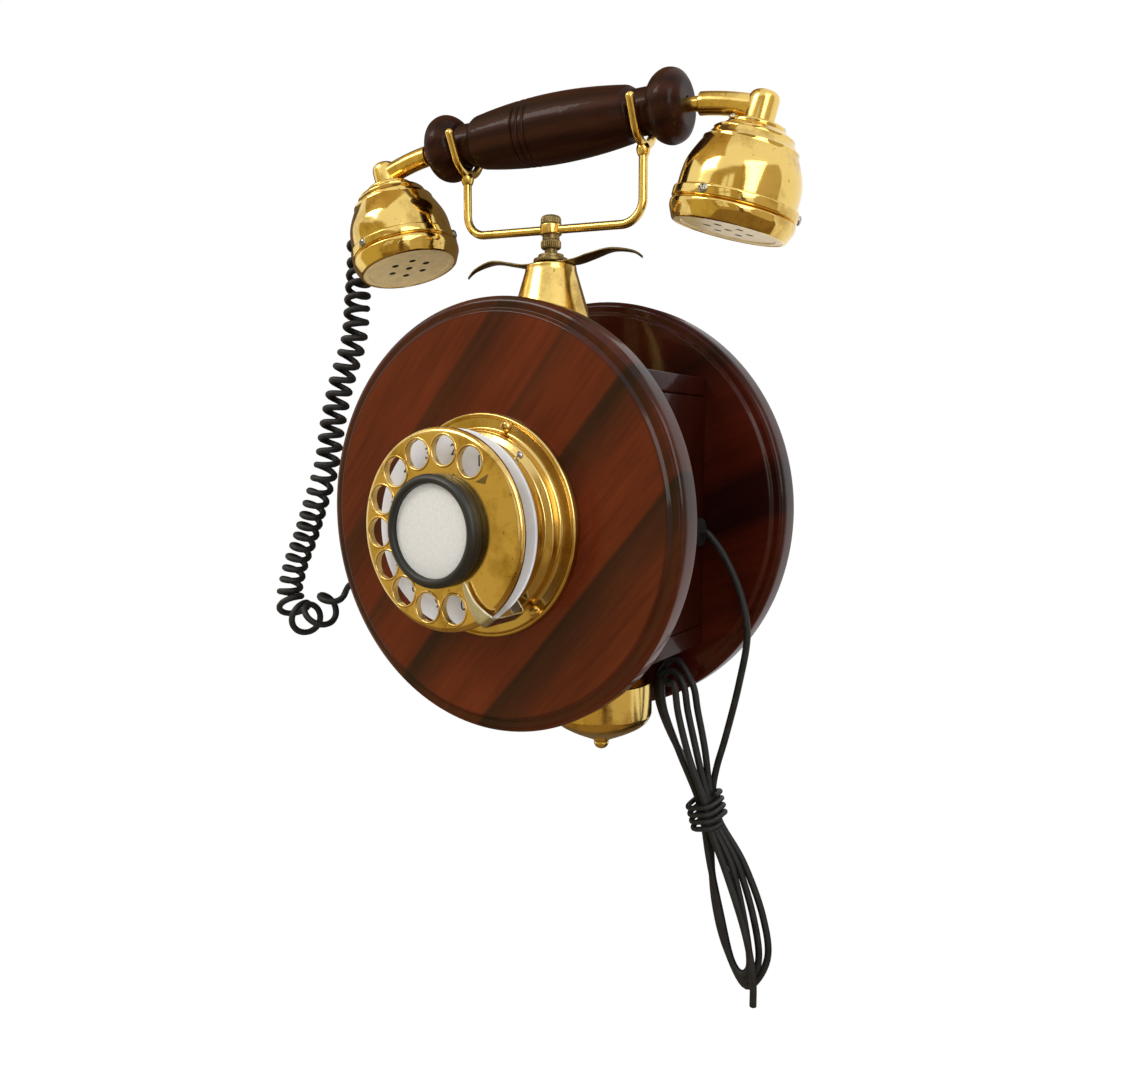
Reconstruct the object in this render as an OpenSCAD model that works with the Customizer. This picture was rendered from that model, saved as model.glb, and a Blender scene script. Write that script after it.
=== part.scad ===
// Rotary wall telephone: a wooden case between two turned discs, a dial in front,
// a handset on a spring cradle above, a gong below, a curly handset cord and a bundled line cord.
// The wall is the plane y = 0, the front faces -Y, +Z is up. Millimetres.

/* [Case] */
// Radius of the back disc
back_radius = 93.5; // [85:0.5:105]
// Thickness of the back disc
back_thickness = 13; // [11:0.5:18]
// Radius of the front disc
front_radius = 85.5; // [80:0.5:95]
// Thickness of the front disc
front_thickness = 12; // [10:0.5:18]
// Width of the moulded edge on both discs
edge_width = 6; // [4:0.5:9]
// Step of the moulded edge towards the front
edge_step = 2.4; // [1:0.2:5]
// Half the width of the case
case_half_width = 58; // [52:0.5:62]
// Half the height of the case
case_half_height = 57; // [52:0.5:62]
// Depth of the case between the discs
case_depth = 65.5; // [60:0.5:80]
// Thickness of the case boards
board = 8; // [6:0.5:10]
// Radius of the case screws
case_screw = 1.6; // [1.2:0.1:2.5]
// Reach of the case screws into the boards
case_screw_reach = 22; // [12:1:30]

/* [Hanger] */
// Width of the hanger plate
hanger_width = 24; // [20:1:34]
// Height of the hanger plate
hanger_height = 44; // [36:1:52]
// Thickness of the hanger plate
hanger_thickness = 2; // [1.5:0.5:3]
// Height of the keyhole's entry above the origin
keyhole_height = 52; // [40:1:60]
// Radius of the keyhole's entry
keyhole_entry = 5; // [4:0.5:6]
// Half width of the keyhole's slot
keyhole_slot = 2.5; // [2:0.25:3]
// Rise of the slot above the entry
keyhole_rise = 10; // [8:1:14]
// Depth of the room for the wall screw's head
keyhole_room = 6; // [4:0.5:8]

/* [Pedestal] */
// Depth of the stem's axis in front of the wall
stem_depth = 45.5; // [40:0.5:55]
// Sideways place of the stem's axis
stem_x = 1.2; // [-4:0.1:4]
// Radius of the pedestal at the case
cone_base = 24.3; // [18:0.1:28]
// Radius of the pedestal at its top
cone_top = 10.7; // [8:0.1:14]
// Height of the pedestal
cone_height = 46.8; // [36:0.1:56]
// Wall of the pedestal
cone_wall = 1.6; // [1:0.1:3]
// Thickness of the leaf strip
leaf_thickness = 1.2; // [0.8:0.1:2]
// Half the length of the leaf strip
leaf_reach = 42; // [30:1:52]
// Half the width of the leaf strip
leaf_half_width = 5; // [4:0.5:8]
// Height of the stem collar
collar_height = 3.3; // [2:0.1:6]
// Radius of the stem collar's upper step
collar_radius = 5.4; // [5:0.1:8]
// Radius of the stem collar's foot
collar_foot = 7.4; // [6:0.1:9]

/* [Cradle] */
// Radius of the stem
stem_radius = 2.7; // [2:0.1:3.5]
// Radius of the cradle wire
wire = 1.8; // [1.4:0.1:2.4]
// Distance of each fork from the stem
fork_reach = 42; // [36:0.5:50]
// Bend radius of the cradle wire
bar_bend = 9; // [5:0.5:10]
// Height of the bar above the collar
bar_rise = 10.2; // [8:0.1:14]
// Radius of the fork's bend
fork_bend = 10; // [6:0.5:11]
// Flare of the fork prongs
fork_flare = 28; // [20:1:45]
// Length of the fork prongs
prong_length = 9.5; // [6:0.5:24]
// Turn of the cradle and the handset about the stem
cradle_turn = 4.5; // [-10:0.5:10]

/* [Handset] */
// Height of the handle's axis above the bar
handle_rise = 40.5; // [36:0.5:50]
// Radius of the handle's barrel at its ends
barrel_radius = 10.4; // [10:0.1:14]
// Swelling of the barrel towards its middle
barrel_swell = 3.2; // [0:0.1:4]
// Distance of the resting handset's middle from the stem's axis
handset_shift = 1.2; // [0:0.1:2]
// Radius of the handle's necks
neck_radius = 8.8; // [8:0.1:11]
// Radius of the handle's knobs
knob_radius = 13.9; // [12:0.1:18]
// Length of each knob
knob_length = 14; // [10:0.5:18]
// Radius of the brass tubes
tube_radius = 4.3; // [3.5:0.1:6]
// Reach of each tube from the knob's middle
tube_reach = 36.6; // [30:0.2:44]
// Droop of the tubes
tube_droop = 10.5; // [0:0.5:15]
// Radius of the tubes' end caps
cap_radius = 5.8; // [5:0.1:8]
// Inward tilt of the cups
cup_tilt = 16; // [0:1:25]
// Radius of the cup rims
rim_radius = 23.5; // [20:0.5:27]
// Height of the cup rims
rim_height = 12; // [8:0.5:18]
// Distance from the tube's axis to the rim's face
cup_drop = 45; // [38:0.5:52]
// Wall of the cup shells
cup_wall = 1.6; // [1.2:0.1:2.5]
// Radius of the holes in the perforated plates
plate_hole = 1.6; // [1.2:0.1:2.5]

/* [Dial] */
// Height of the dial's centre
dial_height = -2.8; // [-6:0.1:6]
// Radius of the finger wheel
wheel_radius = 38; // [34:0.5:42]
// Thickness of the finger wheel
wheel_thickness = 2.5; // [1.5:0.1:3.5]
// Distance of the wheel's front from the disc's face
wheel_stand = 25.7; // [22:0.1:30]
// Radius of the circle of finger holes
hole_circle = 29.5; // [26:0.5:33]
// Radius of the finger holes
finger_hole = 6; // [5:0.1:6.4]
// Angle of the first finger hole
first_hole = 59; // [50:1:70]
// Angle between finger holes
hole_pitch = 25; // [24:0.5:27]
// Angle of the finger stop
stop_angle = -62; // [-70:1:-45]
// Radius of the dial base's flange
flange_radius = 44; // [40:0.5:48]
// Radius of the dial base's collar
dial_collar = 34; // [31:0.5:36]
// Radius of the number plate
number_radius = 37.5; // [35:0.5:40]
// Radius of the card bezel
bezel_radius = 21; // [18:0.5:23]
// Rise of the card bezel in front of the wheel
bezel_rise = 7.8; // [5:0.1:10]
// Radius of the dial spindle
spindle_radius = 4; // [3:0.25:5]

/* [Gong] */
// Sideways place of the gong
gong_x = 21; // [16:0.5:28]
// Gap between the back disc and the gong
gong_clearance = 1; // [0.5:0.1:4]
// Radius of the gong
gong_radius = 22; // [18:0.5:24]
// Gap between the case and the gong's rim
gong_gap = 16; // [8:0.5:20]
// Height of the gong
gong_height = 25.8; // [20:0.2:32]
// Wall of the gong
gong_wall = 1.5; // [1:0.1:2.5]
// Gap between the hammer ball and the gong at rest
hammer_gap = 1.5; // [1:0.1:3]

/* [Cords] */
// Diameter of the curly cord
curly_diameter = 3.2; // [2.4:0.1:4]
// Radius of the curls around their middle line
curl_radius = 4.9; // [4:0.1:7]
// Radius of the wide curls near the case
wide_curl_radius = 8; // [5:0.1:10]
// Diameter of the line cord
line_diameter = 3; // [2.4:0.1:3.2]
// Distance between the layers of the bundle
layer_pitch = 3.5; // [3.45:0.05:4]
// Diameter of the tie
tie_diameter = 2.2; // [1.6:0.1:2.4]

/* [Hidden] */
$fn = 64;
// running clearance of a shaft in its bore
run_gap = 0.05;
// clearance of a screw or plug in its hole
plug_gap = 0.02;
// clearance between faces that pass each other
pass_gap = 0.4;
// clearance of a rod in a wide hole
free_gap = 1;
// overrun of a cutting body past the face it cuts
past = 1;

// distances from the wall
d_back = back_thickness;
d_case = d_back + case_depth;
d_face = d_case + front_thickness;
case_top = case_half_height;
case_floor = -case_half_height;
inner_half_width = case_half_width - board;
inner_half_height = case_half_height - board;

wood = [0.36, 0.14, 0.07];
dark_wood = [0.16, 0.07, 0.04];
gold = [0.78, 0.58, 0.25];
old_brass = [0.42, 0.33, 0.18];
nickel = [0.72, 0.72, 0.7];
steel = [0.55, 0.56, 0.58];
copper = [0.65, 0.35, 0.2];
white = [0.9, 0.9, 0.88];
cream = [0.86, 0.8, 0.66];
black = [0.05, 0.05, 0.05];
green = [0.1, 0.28, 0.16];

// local frame with z counted from the wall towards the viewer and y upwards
module facing(x = 0, z = 0) translate([x, 0, z]) rotate([90, 0, 0]) children();

// solid of revolution about the facing axis, points are [radius, distance from the wall]
module turned(points) rotate_extrude() polygon(points);

// plain bar from a low corner to a high corner
module slab(low, high) translate(low) cube(high - low);

// rod along z between two heights
module rod(radius, low, high) translate([0, 0, low]) cylinder(r = radius, h = high - low);

function reversed(p) = [for (i = [len(p) - 1:-1:0]) p[i]];

// wooden case
screw_inset = 18;
screw_x = case_half_width - screw_inset;
screw_z = case_half_height - board / 2;
screw_head = 3.4;
screw_sink = 3;
screw_head_height = 2;
hanger_middle = keyhole_height + keyhole_rise / 2;
hanger_screw = 1.2;
hanger_head = 2.2;
hanger_head_height = 1;
hanger_screw_reach = 5;
hanger_screw_edge = 3.5;
keyhole_margin = 2;

module disc_body(radius, low, thickness)
    turned([[0, low], [radius, low], [radius, low + thickness - edge_step],
        [radius - edge_width / 3, low + thickness - edge_step / 2],
        [radius - edge_width * 0.8, low + thickness - edge_step / 2],
        [radius - edge_width, low + thickness], [0, low + thickness]]);

module back_disc() color(wood) difference() {
    facing() disc_body(back_radius, 0, back_thickness);
    facing(0, hanger_middle) hanger_blank(plug_gap, hanger_thickness);
    facing(0, keyhole_height) keyhole_pocket();
    case_screw_places() {
        rod(case_screw + plug_gap, -past, back_thickness + past);
        rod(screw_head + plug_gap, -past, screw_sink);
    }
    hanger_screw_places() rod(hanger_screw + plug_gap, 0, hanger_thickness + hanger_screw_reach + past);
}

module case_screw_places() for (s = [-1, 1], t = [-1, 1]) facing(s * screw_x, t * screw_z) children();

module hanger_screw_places() for (s = [-1, 1])
    facing(0, hanger_middle + s * (hanger_height / 2 - hanger_screw_edge)) children();

module hanger_blank(gap, thickness)
    translate([-hanger_width / 2 - gap, -hanger_height / 2 - gap, 0])
        cube([hanger_width + 2 * gap, hanger_height + 2 * gap, thickness]);

module keyhole_pocket() {
    half = keyhole_entry + keyhole_margin;
    slab([-half, -half, 0], [half, half + keyhole_rise, hanger_thickness + keyhole_room]);
}

module hanger_plate() color(steel) difference() {
    facing(0, hanger_middle) hanger_blank(0, hanger_thickness);
    facing(0, keyhole_height) {
        rod(keyhole_entry, -past, hanger_thickness + past);
        slab([-keyhole_slot, 0, -past], [keyhole_slot, keyhole_rise, hanger_thickness + past]);
        translate([0, keyhole_rise, 0]) rod(keyhole_slot, -past, hanger_thickness + past);
    }
    hanger_screw_places() {
        rod(hanger_screw + plug_gap, -past, hanger_thickness + past);
        rod(hanger_head + plug_gap, -past, hanger_head_height);
    }
}

module hanger_screws() color(steel) hanger_screw_places() {
    rod(hanger_screw, 0, hanger_thickness + hanger_screw_reach);
    rod(hanger_head, 0, hanger_head_height);
}

module case_screws() color(steel) case_screw_places() {
    rod(screw_head, screw_sink - screw_head_height, screw_sink);
    rod(case_screw, screw_sink - screw_head_height, d_back + case_screw_reach);
}

module screw_pilots() case_screw_places()
    rod(case_screw + plug_gap, d_back - past, d_back + case_screw_reach + past);

module top_board() color(wood) difference() {
    slab([-case_half_width, -d_case, inner_half_height], [case_half_width, -d_back, case_top]);
    screw_pilots();
    at_stem() rod(stem_radius + free_gap, inner_half_height - past, case_top + past);
}

module bottom_board() color(wood) difference() {
    slab([-case_half_width, -d_case, case_floor], [case_half_width, -d_back, -inner_half_height]);
    screw_pilots();
    slab([hammer_x - slot_left, -gong_depth - slot_half, case_floor - past],
        [hammer_x + slot_right, slot_half - gong_depth, past - inner_half_height]);
    at_gong() rod(post_plug + plug_gap, case_floor - past, past - inner_half_height);
}

module side_board(s, exit) difference() {
    slab([s > 0 ? inner_half_width : -case_half_width, -d_case, -inner_half_height],
        [s > 0 ? case_half_width : -inner_half_width, -d_back, inner_half_height]);
    at_exit(s, exit) rod(grommet_radius + plug_gap, inner_half_width - past, case_half_width + past);
}

module left_board() color(wood) side_board(-1, curly_exit);

module right_board() color(wood) side_board(1, line_exit);

module front_disc() color(wood) difference() {
    facing() disc_body(front_radius, d_case, front_thickness);
    at_dial() rod(dial_hole, d_case - past, d_face + past);
    at_dial() band_screw_places() rod(band_screw + plug_gap, d_face - band_screw_reach - past, d_face + past);
}

// pedestal with the leaf strip, and the sprung stem that carries the cradle
cone_foot = case_top;
z_leaf = cone_foot + cone_height;
z_collar = z_leaf + leaf_thickness;
z_collar_top = z_collar + collar_height;
z_bar = z_collar_top + bar_rise;
z_handle = z_bar + handle_rise;
stem_room = 0.5;
leaf_tip = 0.6;
leaf_shoulder = 0.45;
leaf_crest = 3.4;
leaf_fall = 2;
leaf_seat = 0.27;
leaf_peak = 0.65;
collar_step = 1.6;
boss_radius = 4.6;
boss_half = 2.2;
ring_radius = 4.3;
ring_height = 3.5;
ring_gap = 2.3;
tip_radius = 2.2;
tip_reach = 3;
nut_radius = 4.4;
nut_height = 3.8;
flange_drop = 25;
flange_height = 2;
tail_drop = 33;
plunger_flange = 6;

module at_stem() translate([stem_x, -stem_depth, 0]) children();

module at_cradle() at_stem() rotate([0, 0, cradle_turn]) children();

module cone_pedestal() color(gold) at_stem() difference() {
    translate([0, 0, cone_foot]) cylinder(r1 = cone_base, r2 = cone_top, h = cone_height);
    translate([0, 0, cone_foot])
        cylinder(r1 = cone_base - cone_wall, r2 = cone_top - cone_wall, h = cone_height - cone_wall);
    rod(stem_radius + stem_room, cone_foot + past, z_leaf + past);
}

function leaf_line(up) = [for (p = [[-1, -leaf_fall], [-leaf_peak, leaf_crest], [-leaf_seat, 0],
    [leaf_seat, 0], [leaf_peak, leaf_crest], [1, -leaf_fall]]) [p.x * leaf_reach, z_leaf + p.y + up]];

module leaf_strip() color(old_brass) at_cradle() difference() {
    intersection() {
        rotate([90, 0, 0]) translate([0, 0, -leaf_half_width]) linear_extrude(2 * leaf_half_width)
            polygon(concat(leaf_line(0), reversed(leaf_line(leaf_thickness))));
        translate([0, 0, z_leaf - leaf_reach]) linear_extrude(2 * leaf_reach)
            polygon([[-leaf_reach, -leaf_tip], [-leaf_reach * leaf_shoulder, -leaf_half_width],
                [leaf_reach * leaf_shoulder, -leaf_half_width], [leaf_reach, -leaf_tip],
                [leaf_reach, leaf_tip], [leaf_reach * leaf_shoulder, leaf_half_width],
                [-leaf_reach * leaf_shoulder, leaf_half_width], [-leaf_reach, leaf_tip]]);
    }
    rod(stem_radius + stem_room, z_leaf - past, z_collar + past);
}

module stem_collar() color(old_brass) at_stem() turned([[stem_radius + run_gap, z_collar],
    [collar_foot, z_collar], [collar_foot, z_collar + collar_step], [collar_radius, z_collar + collar_step],
    [collar_radius, z_collar_top], [stem_radius + run_gap, z_collar_top]]);

module stem() color(old_brass) at_stem() {
    rod(stem_radius, case_top - tail_drop, z_bar - boss_half);
    rod(plunger_flange, case_top - flange_drop, case_top - flange_drop + flange_height);
    rod(ring_radius, z_collar_top + ring_gap, z_collar_top + ring_gap + ring_height, $fn = 12);
    rod(tip_radius, z_bar - boss_half, z_bar + boss_half + tip_reach);
}

// cradle: a bent bar with an upright at each end and a wire fork on each upright
fork_drop = (neck_radius + pass_gap + wire - fork_bend) / sin(fork_flare);
prong_thinning = 0.05;
prong_root = 0.5;

module cradle_bar() color(gold) at_cradle() difference() {
    union() {
        rod(boss_radius, z_bar - boss_half, z_bar + boss_half);
        translate([0, 0, z_bar]) rotate([0, 90, 0]) rod(wire, bar_bend - fork_reach, fork_reach - bar_bend);
        for (s = [-1, 1]) {
            translate([s * (fork_reach - bar_bend), 0, z_bar + bar_bend]) rotate([90, 0, 0])
                rotate([0, 0, s > 0 ? -90 : 180]) rotate_extrude(angle = 90)
                    translate([bar_bend, 0]) circle(r = wire);
            translate([s * fork_reach, 0, 0]) rod(wire, z_bar + bar_bend, z_handle - fork_drop - fork_bend);
        }
    }
    rod(tip_radius + plug_gap, z_bar - boss_half - past, z_bar + boss_half + past);
    for (s = [-1, 1]) fork_wire(s);
}

module fork_wire(s) translate([s * fork_reach, 0, z_handle - fork_drop]) {
    rotate([-90, 0, 90]) rotate([0, 0, fork_flare]) rotate_extrude(angle = 180 - 2 * fork_flare)
        translate([fork_bend, 0]) circle(r = wire);
    for (t = [-1, 1]) translate([0, t * fork_bend * cos(fork_flare), -fork_bend * sin(fork_flare)])
        rotate([-t * fork_flare, 0, 0]) rod(wire - prong_thinning, -prong_root, prong_length);
}

module left_fork() color(gold) at_cradle() fork_wire(-1);

module right_fork() color(gold) at_cradle() fork_wire(1);

module cradle_nut() color(old_brass) at_stem() translate([0, 0, z_bar + boss_half]) difference() {
    rotate_extrude() polygon([[0, 0], [nut_radius, 0], [nut_radius, nut_height * 0.55],
        [nut_radius * 0.8, nut_height * 0.82], [nut_radius * 0.35, nut_height], [0, nut_height]]);
    rod(tip_radius + plug_gap, -past, tip_reach + plug_gap);
}

// hook switch: bracket under the top board, spring under the stem's flange, contacts beside it
bracket_drop = 31;
bracket_wall = 2;
bracket_half = 14;
bracket_depth = 14;
bracket_floor = inner_half_height - bracket_drop + bracket_wall;
spring_wire = 0.4;
spring_radius = 4.4;
spring_turns = 5;
contact_half = 3;
contact_left = 8.5;
contact_drop = 14;
contact_top = 5;
blade_half = 2;
blade_left = 5;
blade = 0.4;
blade_drops = [7.4, 5.9];

module hook_bracket() color(steel) at_stem() difference() {
    slab([-bracket_half, -bracket_depth / 2, inner_half_height - bracket_drop],
        [bracket_half, bracket_depth / 2, inner_half_height]);
    slab([bracket_wall - bracket_half, -bracket_depth, bracket_floor],
        [bracket_half - bracket_wall, bracket_depth, inner_half_height - bracket_wall]);
    rod(stem_radius + free_gap, inner_half_height - bracket_wall - past, inner_half_height + past);
}

rings_per_curl = 8;
spring_low = bracket_floor + spring_wire;
spring_high = case_top - flange_drop - spring_wire;
spring_rings = spring_turns * rings_per_curl;
function coil_side(i) = [cos(360 * i / rings_per_curl), sin(360 * i / rings_per_curl), 0];
function coil_place(i) = [0, 0, spring_low + (spring_high - spring_low) * i / spring_rings];

module hook_spring() color(steel) at_stem()
    tube([for (i = [0:spring_rings]) spring_radius * coil_side(i) + coil_place(i)],
        [for (i = [0:spring_rings]) coil_side(i)], spring_wire);

module hook_contacts() color(white) at_stem() {
    slab([contact_left, -contact_half, inner_half_height - contact_drop],
        [bracket_half - bracket_wall, contact_half, inner_half_height - contact_top]);
    for (drop = blade_drops) slab([blade_left, -blade_half, inner_half_height - drop],
        [contact_left, blade_half, inner_half_height - drop + blade]);
}

// gong under the case with its post and finial
gong_depth = back_thickness + gong_clearance + gong_radius;
gong_rim = case_floor - gong_gap;
gong_floor = gong_rim - gong_height;
post_foot = 8;
post_foot_height = 2;
post_plug = 2.5;
post_plug_gap = 1;
post_plug_reach = board - post_plug_gap;
post_radius = 3;
post_tip = 1.9;
post_tip_reach = 3.5;
gong_seat = 6;
finial_radius = 4.2;
finial_height = 5.4;

module at_gong() translate([gong_x, -gong_depth, 0]) children();

module gong_post() color(steel) at_gong() {
    rod(post_foot, case_floor - post_foot_height, case_floor);
    rod(post_plug, case_floor - past, case_floor + post_plug_reach);
    rod(post_radius, gong_floor + gong_wall, case_floor - past);
    rod(post_tip, gong_floor - post_tip_reach, gong_floor + gong_wall + past);
}

// gong outline as parts of its radius and of its height, from the seat out to the rim
gong_shape = [[0.45, 0.07], [0.75, 0.2], [0.93, 0.33], [1, 0.47], [1, 1]];
gong_inner = [[1, 1], [1, 0.49], [0.93, 0.37], [0.75, 0.26], [0.45, 0.13]];

module gong() color(gold) at_gong() translate([0, 0, gong_floor]) rotate_extrude() polygon(concat(
    [[post_tip + plug_gap, 0], [gong_seat, 0]],
    [for (p = gong_shape) [gong_radius * p.x, gong_height * p.y]],
    [for (p = gong_inner) [gong_radius * p.x - gong_wall, gong_height * p.y]],
    [[gong_seat, gong_wall], [post_tip + plug_gap, gong_wall]]));

module gong_finial() color(gold) at_gong() difference() {
    translate([0, 0, gong_floor]) rotate_extrude() polygon([[0, -finial_height],
        [finial_radius * 0.42, -finial_height * 0.94], [finial_radius * 0.7, -finial_height * 0.75],
        [finial_radius * 0.78, -finial_height * 0.5], [finial_radius, -finial_height * 0.19],
        [finial_radius, 0], [0, 0]]);
    rod(post_tip + plug_gap, gong_floor - post_tip_reach - plug_gap, gong_floor + past);
}

// ringer: frame, two coils, and a hammer that swings on a pivot
pivot_z = -26;
pivot_radius = 1.5;
pivot_reach = 20;
pivot_head = 3;
pivot_head_height = 1.5;
ball_radius = 3.5;
ball_drop = 6;
arm_radius = 1.2;
hammer_x = gong_x - gong_radius - hammer_gap - ball_radius;
armature_half = 16;
armature_depth = 4;
armature_rise = 2.5;
armature_fall = 3.5;
slot_left = 5;
slot_right = 3.5;
slot_half = 3;
coil_radius = 8;
coil_spread = 14;
coil_low = -19;
coil_high = 5;
core_radius = 3;
core_low = -21;
yoke_low = 7;
yoke_high = 10;
yoke_half = 18;
frame_half = 26;
frame_top = 12;
frame_wall = 2;
frame_foot = 10;
frame_behind = 11;
frame_depth = gong_depth - frame_behind;

module ringer_frame() color(steel) {
    slab([hammer_x - frame_half, -frame_depth, -inner_half_height],
        [hammer_x + frame_half, frame_wall - frame_depth, frame_top]);
    slab([hammer_x - frame_half, frame_wall - frame_depth, -inner_half_height],
        [hammer_x + frame_half, frame_foot - frame_depth, frame_wall - inner_half_height]);
    slab([hammer_x - yoke_half, -gong_depth - coil_radius, yoke_low],
        [hammer_x + yoke_half, -frame_depth, yoke_high]);
}

module ringer_coils() color(copper) for (s = [-1, 1])
    translate([hammer_x + s * coil_spread, -gong_depth, 0]) {
        rod(coil_radius, coil_low, coil_high);
        rod(core_radius, core_low, yoke_low);
    }

module hammer_pivot() color(steel) facing(hammer_x, pivot_z) {
    rod(pivot_radius, frame_depth, frame_depth + pivot_reach);
    rod(pivot_head, frame_depth + pivot_reach, frame_depth + pivot_reach + pivot_head_height);
}

module hammer() color(gold) difference() {
    union() {
        slab([hammer_x - armature_half, -gong_depth - armature_depth, pivot_z - armature_fall],
            [hammer_x + armature_half, armature_depth - gong_depth, pivot_z + armature_rise]);
        translate([hammer_x, -gong_depth, 0]) rod(arm_radius, gong_rim - ball_drop, pivot_z - armature_rise);
        translate([hammer_x, -gong_depth, gong_rim - ball_drop]) sphere(r = ball_radius);
    }
    facing(hammer_x, pivot_z) rod(pivot_radius + run_gap, frame_depth, frame_depth + pivot_reach);
}

// network board with its transformer, capacitors and screw terminals
board_half = 44;
board_under = 3;
board_height = 30;
board_high = inner_half_height - board_under;
board_low = board_high - board_height;
board_stand = 3.4;
board_thick = 1.6;
d_parts = d_back + board_stand + board_thick;
standoff_radius = 3;
standoff_inset = 4;
coil_box = [20, 12, 18];
coil_inset = 6;
coil_box_at = [-36, board_low + coil_inset];
can_radius = 4;
can_length = 20;
can_places = [-4, 6];
block_box = [24, 9, 22];
block_inset = 4;
block_at = [16, board_low + block_inset];
terminal_radius = 2;
terminal_depth = 5;
terminal_pitch = 7;

module network_board() color(green) {
    slab([-board_half, -d_parts, board_low], [board_half, -d_back - board_stand, board_high]);
    for (s = [-1, 1], z = [board_low + standoff_inset, board_high - standoff_inset])
        facing(s * (board_half - standoff_inset), z) rod(standoff_radius, d_back, d_parts - board_thick / 2);
    translate([coil_box_at.x, -d_parts - coil_box.y, coil_box_at.y]) cube(coil_box);
    for (x = can_places) translate([x, -d_parts - can_radius, coil_box_at.y])
        cylinder(r = can_radius, h = can_length);
}

module terminal_block() color(cream) difference() {
    translate([block_at.x, -d_parts - block_box.y, block_at.y]) cube(block_box);
    for (k = [-1:1]) facing(block_at.x + block_box.x / 2, block_at.y + block_box.z / 2 + k * terminal_pitch)
        rod(terminal_radius, d_parts + block_box.y - terminal_depth, d_parts + block_box.y + past);
}

// dial: base with collar, number plate, finger stop and the mechanism behind it
d_wheel = d_face + wheel_stand;
d_wheel_back = d_wheel - wheel_thickness;
plate_stand = 10;
plate_thickness = 1.2;
d_number = d_wheel - plate_stand;
d_number_back = d_number - plate_thickness;
hole_margin = 1;
dial_hole = dial_collar - hole_margin;
base_top = 2.5;
base_wall = 3;
base_room = dial_collar - base_wall;
band_rise = 2.4;
d_band = d_face + band_rise;
band_screw_inset = 3.8;
band_screw_circle = flange_radius - band_screw_inset;
band_screw_head = 2;
band_screw_head_height = 1.3;
band_screw = 1.2;
band_screw_reach = 7;
band_screw_angles = [76, -56, 196];
bead = 1.4;
skirt = 3;
skirt_rise = 6.4;
neck_rise = 8;
skirt_blend = 0.8;
plate_bore = 0.5;
stop_wall = 1.2;
stop_clear = 1.2;
stop_lift = 2.6;
stop_half = 2.4;
stop_foot_rise = 9;
stop_tip_gap = 1.4;

module at_dial() facing(0, dial_height) children();

module band_screw_places() for (a = band_screw_angles)
    rotate([0, 0, a]) translate([band_screw_circle, 0, 0]) children();

module dial_base() color(gold) at_dial() difference() {
    turned([[spindle_radius + run_gap, d_number_back], [dial_collar, d_number_back],
        [dial_collar, d_face + neck_rise], [dial_collar + skirt, d_face + skirt_rise],
        [dial_collar + skirt, d_band + skirt_blend], [dial_collar + skirt + skirt_blend, d_band],
        [flange_radius - bead, d_band], [flange_radius - bead / 2, d_band + bead / 2],
        [flange_radius, d_band - bead / 4], [flange_radius, d_face], [base_room, d_face],
        [base_room, d_number_back - base_top], [spindle_radius + run_gap, d_number_back - base_top]]);
    band_screw_places() rod(band_screw + plug_gap, d_face - past, d_band + past);
}

module dial_screws() color(old_brass) at_dial() band_screw_places() {
    rod(band_screw, d_face - band_screw_reach, d_band);
    translate([0, 0, d_band])
        cylinder(r1 = band_screw_head, r2 = band_screw_head * 0.7, h = band_screw_head_height);
}

module number_plate() color(white) at_dial() turned([[spindle_radius + plate_bore, d_number_back],
    [number_radius, d_number_back], [number_radius, d_number], [spindle_radius + plate_bore, d_number]]);

module finger_stop() color(nickel) at_dial() rotate([0, 0, stop_angle]) {
    stop_in = wheel_radius + stop_clear;
    stop_out = stop_in + stop_wall;
    d_foot = d_face + stop_foot_rise;
    d_tip = d_wheel + stop_lift;
    difference() {
        slab([base_room, -stop_half, d_foot], [stop_out, stop_half, d_foot + stop_wall]);
        rod(dial_collar, d_face, d_number);
    }
    slab([stop_in, -stop_half, d_foot], [stop_out, stop_half, d_tip + stop_wall]);
    slab([bezel_radius + stop_tip_gap, -stop_half, d_tip], [stop_out, stop_half, d_tip + stop_wall]);
}

// dial mechanism: plate on pillars, spiral return spring, pulse contacts, spindle, gear and governor
mech_drop = 6.5;
d_mech = d_face - mech_drop;
mech_thickness = 2;
mech_radius = 29;
pillar_radius = 2.5;
pillar_circle = 24;
pillar_angles = [30, 150, 270];
gear_module = 1;
gear_teeth = 40;
pinion_teeth = 10;
gear_thickness = 3.5;
gear_gap = 2.5;
tooth_up = 0.7;
tooth_down = 1;
d_gear = d_mech - mech_thickness - gear_gap;
gear_centres = gear_module * (gear_teeth + pinion_teeth) / 2;
spindle_tail = 5;
hub_radius = 9;
journal_radius = 1.5;
journal_boss = 3.5;
journal_gap = 0.5;
pinion_more = 0.7;
weight_radius = 5.8;
weight_half = 3;
weight_drop = 9.5;
weight_length = 4.5;
drum_radius = 9;
drum_drop = 18;
drum_length = 6;
spiral_steps = 96;
spiral_step = 15;
spiral_start = 6.5;
spiral_growth = 13.5;
spiral_half = 0.4;
spiral_width = 6;
pulse_low = [-28, 9.5];
pulse_high = [-20, 14];
pulse_drop = 12;
pulse_blades = [9, 6];
pulse_blade = 0.6;
pulse_blade_reach = 2.7;
pulse_blade_inset = 1;

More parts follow.
